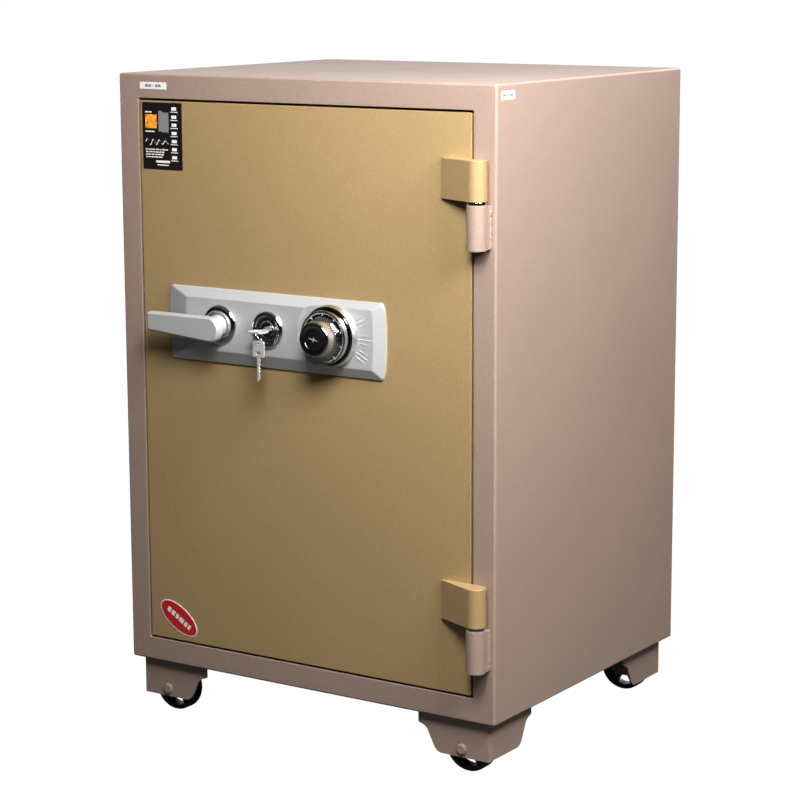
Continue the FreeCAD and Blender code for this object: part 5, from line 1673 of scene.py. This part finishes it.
@dataclass
class CombinationDial:
    """Scale ring, sloping disc, knob and its dark insert."""

    shop: Workshop
    centre: Flat = (55.0, 478.0)
    plate_front: float = -12.0
    disc_back: float = -13.5
    knob_back: float = -31.0
    knob_radius: float = 26.0
    knob_face: float = 22.2
    ring_radius: float = 40.0
    divisions: int = 100
    number_radius: float = 28.8
    number_size: float = 2.6
    number_depth: float = 0.06
    teeth: int = 90
    flutes: int = 48

    def build(self) -> None:
        """Build the ring, the disc, the knob and the marks."""
        x, z = self.centre
        outer = self.ring_radius
        ring = [(35.4, -3), (35.4, 5.6), (36.0, 6.8), (37.2, 7.0), (38.2, 6.6), (39.6, 3.2), (outer, 2.2),
                (outer, -3)]

        def milled(angle: float, height: float) -> float:
            """Depth of the milling round the ring's rim."""
            return 0.25 * (math.cos(angle * self.teeth) - 1) if 2.0 < height < 5 else 0.0

        shape = Shape().lathe(ring, (x, self.plate_front, z), Facing.FORWARD, 720, flute=milled)
        self.shop.piece("dial_scale_ring", "door", "chrome", shape,
                        replaces=("dial_ring",))
        disc = [(0, 0), (33.6, 0), (34.5, 0.8), (34.5, 14.6), (34.1, 15.6), (33.2, 16.0), (32.4, 15.8),
                (31.8, 15.2), (27.0, 16.2), (26.0, 17.5), (0, 17.5)]
        shape = Shape().lathe(disc, (x, self.disc_back, z), Facing.FORWARD, 144)
        self.shop.piece("dial_plate", "dial", "chrome", shape, ("dark_chrome_and_plug_shade",),
                        replaces=("dial_disc",))
        self._graduations()
        self._knob()

    def _graduations(self) -> None:
        """Put a mark on the face of the disc for each number, and print every tenth number."""
        x, z = self.centre
        middle = self.shop.place.at(x, self.disc_back - 15.5, z)
        self.shop.ruled("dial_graduations", "dial", "chrome", self.shop.rules.graduations,
                        {"Count": self.divisions, "Radius": 30.9 * MM, "Length": 0.9 * MM, "Width": 0.3 * MM,
                         "Height": 0.3 * MM, "Tilt": 0.0, "Centre": middle}, finish="ink_white")
        for tens in range(10):
            text = bpy.data.curves.new(f"number_{tens}", "FONT")
            text.body = str(tens * 10)
            text.size = self.number_size * MM
            text.extrude = self.number_depth * MM
            text.align_x, text.align_y = "CENTER", "CENTER"
            text.resolution_u = 3
            holder = bpy.data.objects.new(text.name, text)
            bpy.context.scene.collection.objects.link(holder)
            data = evaluated_mesh(holder)
            bpy.data.objects.remove(holder)
            angle = 2 * math.pi * tens / 10
            out = Matrix.Translation((0, self.number_radius * MM, 0))
            spin = Matrix.Rotation(-angle, 4, "Z")
            stand = Matrix.Rotation(math.pi / 2, 4, "X")
            place = self.shop.place.at(x, self.disc_back - 15.9, z)
            data.transform(Matrix.Translation(place) @ stand @ spin @ out)
            self.shop.piece(f"dial_number_{tens * 10}", "dial", "chrome", data, ("ink_white",))

    def _knob(self) -> None:
        """Build the fluted knob and the dark insert with its cross."""
        x, z = self.centre
        r = self.knob_radius
        waist = r - 1.6
        lean = (waist - self.knob_face) / 14.0
        profile = [(0, -0.3), (r - 0.3, -0.3), (r, 0.3), (r, 1.6), (r - 0.6, 2.4)]
        profile += [(waist - lean * k, 3.0 + k) for k in range(0, 14)]
        profile += [(self.knob_face, 17.0), (self.knob_face - 0.5, 18.2), (self.knob_face - 1.6, 18.9),
                    (self.knob_face - 3.2, 19.0), (16.6, 18.4), (14.5, 18.0), (14.0, 17.2), (14.0, 17.0),
                    (0, 17.0)]

        def grip(angle: float, height: float) -> float:
            """Depth of the flutes round the knob."""
            return 0.22 * (math.cos(angle * self.flutes) - 1) if 3.5 < height < 15.5 else 0.0

        shape = Shape().lathe(profile, (x, self.knob_back, z), Facing.FORWARD, 480, flute=grip)
        self.shop.piece("dial_grip", "dial", "chrome", shape, ("dark_chrome_and_plug_shade",),
                        replaces=("dial_knob",))
        insert = [(0, 16.9), (13.9, 16.9), (13.9, 17.5), (13.2, 18.0), (9.0, 18.3), (0, 18.4)]
        shape = Shape().lathe(insert, (x, self.knob_back, z), Facing.FORWARD, 96)
        self.shop.piece("dial_cap", "dial", "dial_black", shape,
                        replaces=("dial_insert",))
        cross = Shape()
        for turn, reach in ((-12.0, 7.6), (78.0, 3.6)):
            a = math.radians(turn)
            long, wide = Vector((math.cos(a), math.sin(a))) * reach, Vector((-math.sin(a), math.cos(a))) * 1.0
            outline = [tuple(-long), tuple(-wide), tuple(long), tuple(wide)]
            cross.loft(layered(outline, [(18.2, 0), (18.65, 0.0), (18.75, 0.15)], (x, self.knob_back, z),
                               Facing.FORWARD))
        self.shop.piece("dial_cap_cross", "dial", "dial_black", cross, ("satin_metal",))


# ------------------------------------------------------------------ casters


@dataclass
class Casters:
    """Black spoked wheels."""

    shop: Workshop
    across: float = 238.0
    axle: float = -41.0
    mids: tuple[float, float] = (34.0, 450.0)
    radius: float = 34.0
    half: float = 9.0
    hub: float = 9.0
    bore: float = 4.1

    def build(self) -> None:
        """Build the four wheels."""
        for end, y in zip(("front", "rear"), self.mids):
            for side, x in (("left", -self.across), ("right", self.across)):
                r, w = self.radius, self.half
                tyre = [(27.0, -w + 0.8), (27.6, -w), (r - 2.2, -w), (r - 0.7, -w + 0.7), (r, -w + 2.2),
                        (r, w - 2.2), (r - 0.7, w - 0.7), (r - 2.2, w), (27.6, w), (27.0, w - 0.8),
                        (26.4, 0.0)]
                hub = [(self.bore, -w), (self.bore, w), (self.hub - 0.8, w), (self.hub, w - 0.8),
                       (self.hub, 0.8 - w), (self.hub - 0.8, -w)]
                shape = Shape().lathe(tyre, (x, y, self.axle), Facing.FORWARD, 96)
                shape.lathe(hub, (x, y, self.axle), Facing.FORWARD, 48)
                name = f"{end}_{side}_wheel"
                self.shop.piece(f"{name}_rim", f"wheel_{end}_{side}", "wheel_black",
                                shape, replaces=(name,))
                self.shop.ruled(f"{name}_spokes", f"wheel_{end}_{side}", "wheel_black",
                                self.shop.rules.spokes,
                                {"Count": 6, "Inner": 8.2 * MM, "Outer": 27.6 * MM, "Width": 4.6 * MM,
                                 "Depth": 11.0 * MM, "Centre": self.shop.place.at(x, y, self.axle)})


# ------------------------------------------------------------------ labels


@dataclass
class Labels:
    """Plain stickers whose print is blocks, bars and a wave, with no words."""

    shop: Workshop
    film: float = 0.4
    ink: float = 0.07
    sticker: Flat = (-209.0, 66.0)
    sticker_size: Flat = (35.0, 17.0)
    sticker_lean: float = -32.0

    def bars(self, boxes: Sequence[Box]) -> Shape:
        """Thin blocks of ink on a label that faces forward.

        Args:
            boxes: Left, low, right and high of each block.

        Returns:
            The blocks' shape.
        """
        shape = Shape()
        for left, low, right, high in boxes:
            shape.block((left, -self.film - self.ink, low), (right, -self.film + 0.05, high))
        return shape

    def build(self) -> None:
        """Build every sticker."""
        self._door_label()
        self._sticker()
        self._small_plates()

    def _door_label(self) -> None:
        """The dark label at the door's upper corner."""
        sheet = rounded([(-253, 675, 1.5), (-187, 675, 1.5), (-187, 763, 1.5), (-253, 763, 1.5)], 4)
        film = Shape().loft(layered(sheet, [(-0.05, 0), (self.film - 0.1, 0), (self.film, 0.15)], (0, 0, 0),
                                    Facing.FORWARD))
        self.shop.piece("corner_label", "door", "label_dark", film,
                        replaces=("door_label",))
        glow = self.bars([(-248, 729, -229, 747)])
        self.shop.piece("corner_label_glow", "door", "label_dark", glow,
                        ("ink_flame",))
        box = self.bars([(-226, 725, -220, 752), (-220, 724, -209, 750)])
        self.shop.piece("corner_label_box", "door", "label_dark", box, ("ink_grey",))
        lines = []
        for row, (length, z) in enumerate(((41, 700.5), (37, 697.2), (34, 693.9), (31, 690.6))):
            x = -248.0
            for part in range(7):
                wide = (3.2, 5.6, 4.1, 6.4, 2.6, 5.0, 3.8)[(part + row * 2) % 7]
                if x + wide > -248 + length:
                    break
                lines.append((x, z, x + wide, z + 1.5))
                x += wide + 1.1
        lines += [(-248, 749.5, -237, 750.9), (-248, 724.0, -233, 725.6), (-231, 684.0, -208, 687.0),
                  (-229, 680.4, -210, 681.8)]
        for step in range(7):
            z = 753 - step * 10.6
            lines += [(-204, z, -196, z + 4.2), (-206, z - 2.6, -194, z - 1.6)]
        words = self.bars(lines)
        self.shop.piece("corner_label_bars", "door", "label_dark", words,
                        ("ink_white",))
        wave = Shape()
        points = [(-248 + k * 1.0, 711.5 + 4.6 * math.sin(k * 0.62) * (1 - k / 62)) for k in range(39)]
        band = points + [(x + 0.5, z - 1.1) for x, z in reversed(points)]
        wave.prism(band, self.film - 0.05, self.film + self.ink, (0, 0, 0), Facing.FORWARD)
        data = wave
        self.shop.piece("corner_label_wave", "door", "label_dark", data, ("ink_white",))

    def _sticker(self) -> None:
        """The red oval at the door's lower corner."""
        x, z = self.sticker
        wide, tall = self.sticker_size
        lean = math.radians(self.sticker_lean)

        def leaning(p: float, q: float) -> Flat:
            """Turn a point of the upright oval by its lean."""
            return p * math.cos(lean) - q * math.sin(lean), p * math.sin(lean) + q * math.cos(lean)

        def oval(extra: float = 0.0) -> list[Flat]:
            """The oval's outline, widened by the extra."""
            angles = [2 * math.pi * k / 72 for k in range(72)]
            return [leaning((wide + extra) * math.cos(a), (tall + extra) * math.sin(a)) for a in angles]

        film = Shape().loft(layered(oval(), [(-0.05, 0), (self.film - 0.1, 0), (self.film, 0.12)], (x, 0, z),
                                    Facing.FORWARD))
        self.shop.piece("oval_sticker", "door", "label_red", film, ("ink_white",),
                        replaces=("door_sticker",))
        red = Shape().prism(oval(-1.4), self.film - 0.05, self.film + self.ink, (x, 0, z), Facing.FORWARD)
        self.shop.piece("oval_sticker_field", "door", "label_red", red)
        bars = Shape()
        height = self.film + self.ink
        for left, low, right, high in ((-22, -3.4, -16, 3.4), (-14, -3.4, -8, 3.4), (-6, -3.4, -1, 3.4),
                                       (1, -3.4, 9, 3.4), (11, -3.4, 16, 3.4), (18, -3.4, 22.5, 3.4)):
            corners = [(left, low), (right, low), (right, high), (left, high)]
            turned = [leaning(p, q) for p, q in corners]
            bars.prism(turned, height - 0.05, height + 0.06, (x, 0, z), Facing.FORWARD)
        self.shop.piece("oval_sticker_bars", "door", "label_red", bars, ("ink_white",))

    def _small_plates(self) -> None:
        """The light plates on the frame and on the side."""
        plate = rounded([(-256, 780, 0.8), (-212, 780, 0.8), (-212, 789, 0.8), (-256, 789, 0.8)], 3)
        film = Shape().loft(layered(plate, [(-0.05, 0), (self.film - 0.1, 0), (self.film, 0.12)], (0, 0, 0),
                                    Facing.FORWARD))
        self.shop.piece("front_plate", "cabinet", "label_light", film,
                        replaces=("frame_label",))
        marks = self.bars([(-247, 782.6, -242, 786.4), (-241, 782.6, -237, 786.4), (-235, 784, -232, 785),
                           (-230, 782.6, -226, 786.4), (-225, 782.6, -221, 786.4)])
        self.shop.piece("front_plate_bars", "cabinet", "label_light", marks,
                        ("ink_grey",))
        side = rounded([(10.6, 780.5, 0.8), (42.5, 780.5, 0.8), (42.5, 791, 0.8), (10.6, 791, 0.8)], 3)
        film = Shape().loft(layered(side, [(-0.2, 0), (0.1, 0), (0.15, 0.1)], (292, 0, 0), Facing.RIGHT))
        self.shop.piece("side_plate", "cabinet", "label_light", film)
        marks = Shape()
        for start, end in ((14, 22), (23.5, 28), (30, 39)):
            marks.block((292.1, start, 784.2), (292.2, end, 787.4))
        self.shop.piece("side_plate_bars", "cabinet", "label_light", marks,
                        ("ink_grey",))


# ------------------------------------------------------------------ studio


@dataclass(frozen=True)
class Lamp:
    """One soft rectangular light."""

    name: str
    at: Point
    to: Point
    power: float
    size: Flat

    def hang(self) -> None:
        """Hang the light and aim it."""
        data = bpy.data.lights.new(self.name, "AREA")
        data.shape = "RECTANGLE"
        data.size, data.size_y = self.size
        data.energy = self.power
        lamp = bpy.data.objects.new(self.name, data)
        bpy.context.scene.collection.objects.link(lamp)
        lamp.location = self.at
        lamp.rotation_mode = "QUATERNION"
        lamp.rotation_quaternion = (Vector(self.to) - Vector(self.at)).to_track_quat("-Z", "Y")
        lamp.visible_camera = False


LAMPS = (
    Lamp("key", (0.55, -0.92, 1.36), (0.05, -0.1, 0.45), 23.5, (0.42, 0.42)),
    Lamp("side", (1.18, -0.46, 1.32), (0.25, 0.0, 0.50), 28.0, (0.42, 0.42)),
    Lamp("left_sheet", (-1.9, 0.7, 1.2), (-0.2, 0.1, 0.45), 15.0, (0.8, 1.2)),
    Lamp("rear_sheet", (0.3, 2.1, 1.3), (0.0, 0.25, 0.45), 28.0, (1.2, 0.9)),
    Lamp("top_sheet", (0.1, 0.6, 2.2), (0.0, 0.1, 0.8), 4.0, (1.2, 0.8)),
)


@dataclass
class Studio:
    """Pale floor, soft lights and the camera."""

    lens: float = 107.7
    stand: Point = (1.7759, -2.6794, 1.0267)
    azimuth: float = 33.40
    elevation: float = 10.53
    roll: float = -0.21
    dim: float = 0.008
    backdrop: Point = (-0.56, 0.80, 0.22)
    backdrop_level: float = 0.9
    above_level: float = 0.12
    floor_reach: float = 30.0

    def build(self) -> None:
        """Build the floor, the world, the lights and the camera."""
        scene = bpy.context.scene
        scene.view_settings.view_transform = "Standard"
        scene.view_settings.look = "None"
        self._floor()
        self._world()
        for lamp in LAMPS:
            lamp.hang()
        self._camera()

    def _camera(self) -> None:
        """Stand the camera and aim it."""
        scene = bpy.context.scene
        data = bpy.data.cameras.new("camera")
        camera = bpy.data.objects.new("camera", data)
        scene.collection.objects.link(camera)
        data.lens = self.lens
        data.sensor_width = 36.0
        data.clip_start, data.clip_end = 0.05, 60.0
        a, e = math.radians(self.azimuth), math.radians(self.elevation)
        back = Vector((math.sin(a) * math.cos(e), -math.cos(a) * math.cos(e), math.sin(e)))
        camera.location = self.stand
        turn = (-back).to_track_quat("-Z", "Y").to_matrix()
        camera.rotation_mode = "QUATERNION"
        camera.rotation_quaternion = (turn @ Matrix.Rotation(math.radians(self.roll), 3, "Z")).to_quaternion()
        scene.camera = camera

    def _floor(self) -> None:
        """Lay the pale floor."""
        data = bpy.data.meshes.new("floor")
        r = self.floor_reach
        data.from_pydata([(-r, -r, 0), (r, -r, 0), (r, r, 0), (-r, r, 0)], [], [(0, 1, 2, 3)])
        floor = bpy.data.objects.new("floor", data)
        bpy.context.scene.collection.objects.link(floor)
        look = bpy.data.materials.new("pale_floor")
        look.use_nodes = True
        wiring = Wiring(look.node_tree)
        shader = look.node_tree.nodes["Principled BSDF"]
        shader.inputs["Base Color"].default_value = (0.04, 0.04, 0.04, 1.0)
        shader.inputs["Roughness"].default_value = 0.9
        glow = wiring.add("ShaderNodeEmission", {"Color": (1.0, 1.0, 1.0, 1.0), "Strength": 1.1})
        path = wiring.add("ShaderNodeLightPath")
        share = wiring.maths("MULTIPLY", path.outputs["Is Camera Ray"], 0.93)
        mix = wiring.add("ShaderNodeMixShader", {0: share, 1: shader.outputs[0], 2: glow.outputs[0]})
        look.node_tree.links.new(mix.outputs[0], look.node_tree.nodes["Material Output"].inputs["Surface"])
        data.materials.append(look)

    def _world(self) -> None:
        """White to the camera; dim in front and brighter above and behind for what it lights."""
        world = bpy.data.worlds.new("studio")
        bpy.context.scene.world = world
        world.use_nodes = True
        wiring = Wiring(world.node_tree)
        ground = world.node_tree.nodes["Background"]
        way = wiring.add("ShaderNodeTexCoord").outputs["Generated"]
        parts = wiring.add("ShaderNodeSeparateXYZ", {0: way})
        toward = wiring.add("ShaderNodeVectorMath", {0: way, 1: self.backdrop}, operation="DOT_PRODUCT")
        behind = wiring.remap(toward.outputs["Value"], 0.80, 0.96, 0.0, self.backdrop_level)
        above = wiring.remap(parts.outputs[2], 0.3, 1.0, 0.0, self.above_level)
        level = wiring.maths("ADD", wiring.maths("ADD", behind, above), self.dim)
        path = wiring.add("ShaderNodeLightPath")
        seen = wiring.maths("MAXIMUM", path.outputs["Is Camera Ray"], level)
        shade = wiring.add("ShaderNodeCombineColor", {0: seen, 1: seen, 2: seen})
        world.node_tree.links.new(shade.outputs[0], ground.inputs["Color"])


ASSEMBLIES = (Cabinet, Door, Hinges, LockPlate, LeverHandle, KeyLock, CombinationDial, Casters, Labels)


def main() -> None:
    """Build the safe's looks around its frame."""
    logging.basicConfig(level=logging.INFO, format="%(name)s: %(message)s")
    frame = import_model()
    shop = Workshop(frame)
    # The axle bolts take the cabinet's paint; the brass lock plug takes the dark chrome as painted shade, for
    # the shadow it sits in.
    shop.dress_nodes({"axle_bolts": "cabinet_paint", "lock_plug": "dark_chrome_and_plug_shade"})
    for assembly in ASSEMBLIES:
        assembly(shop).build()
        LOG.info("%s finished", assembly.__name__)
    Studio().build()


if __name__ == "__main__":
    main()
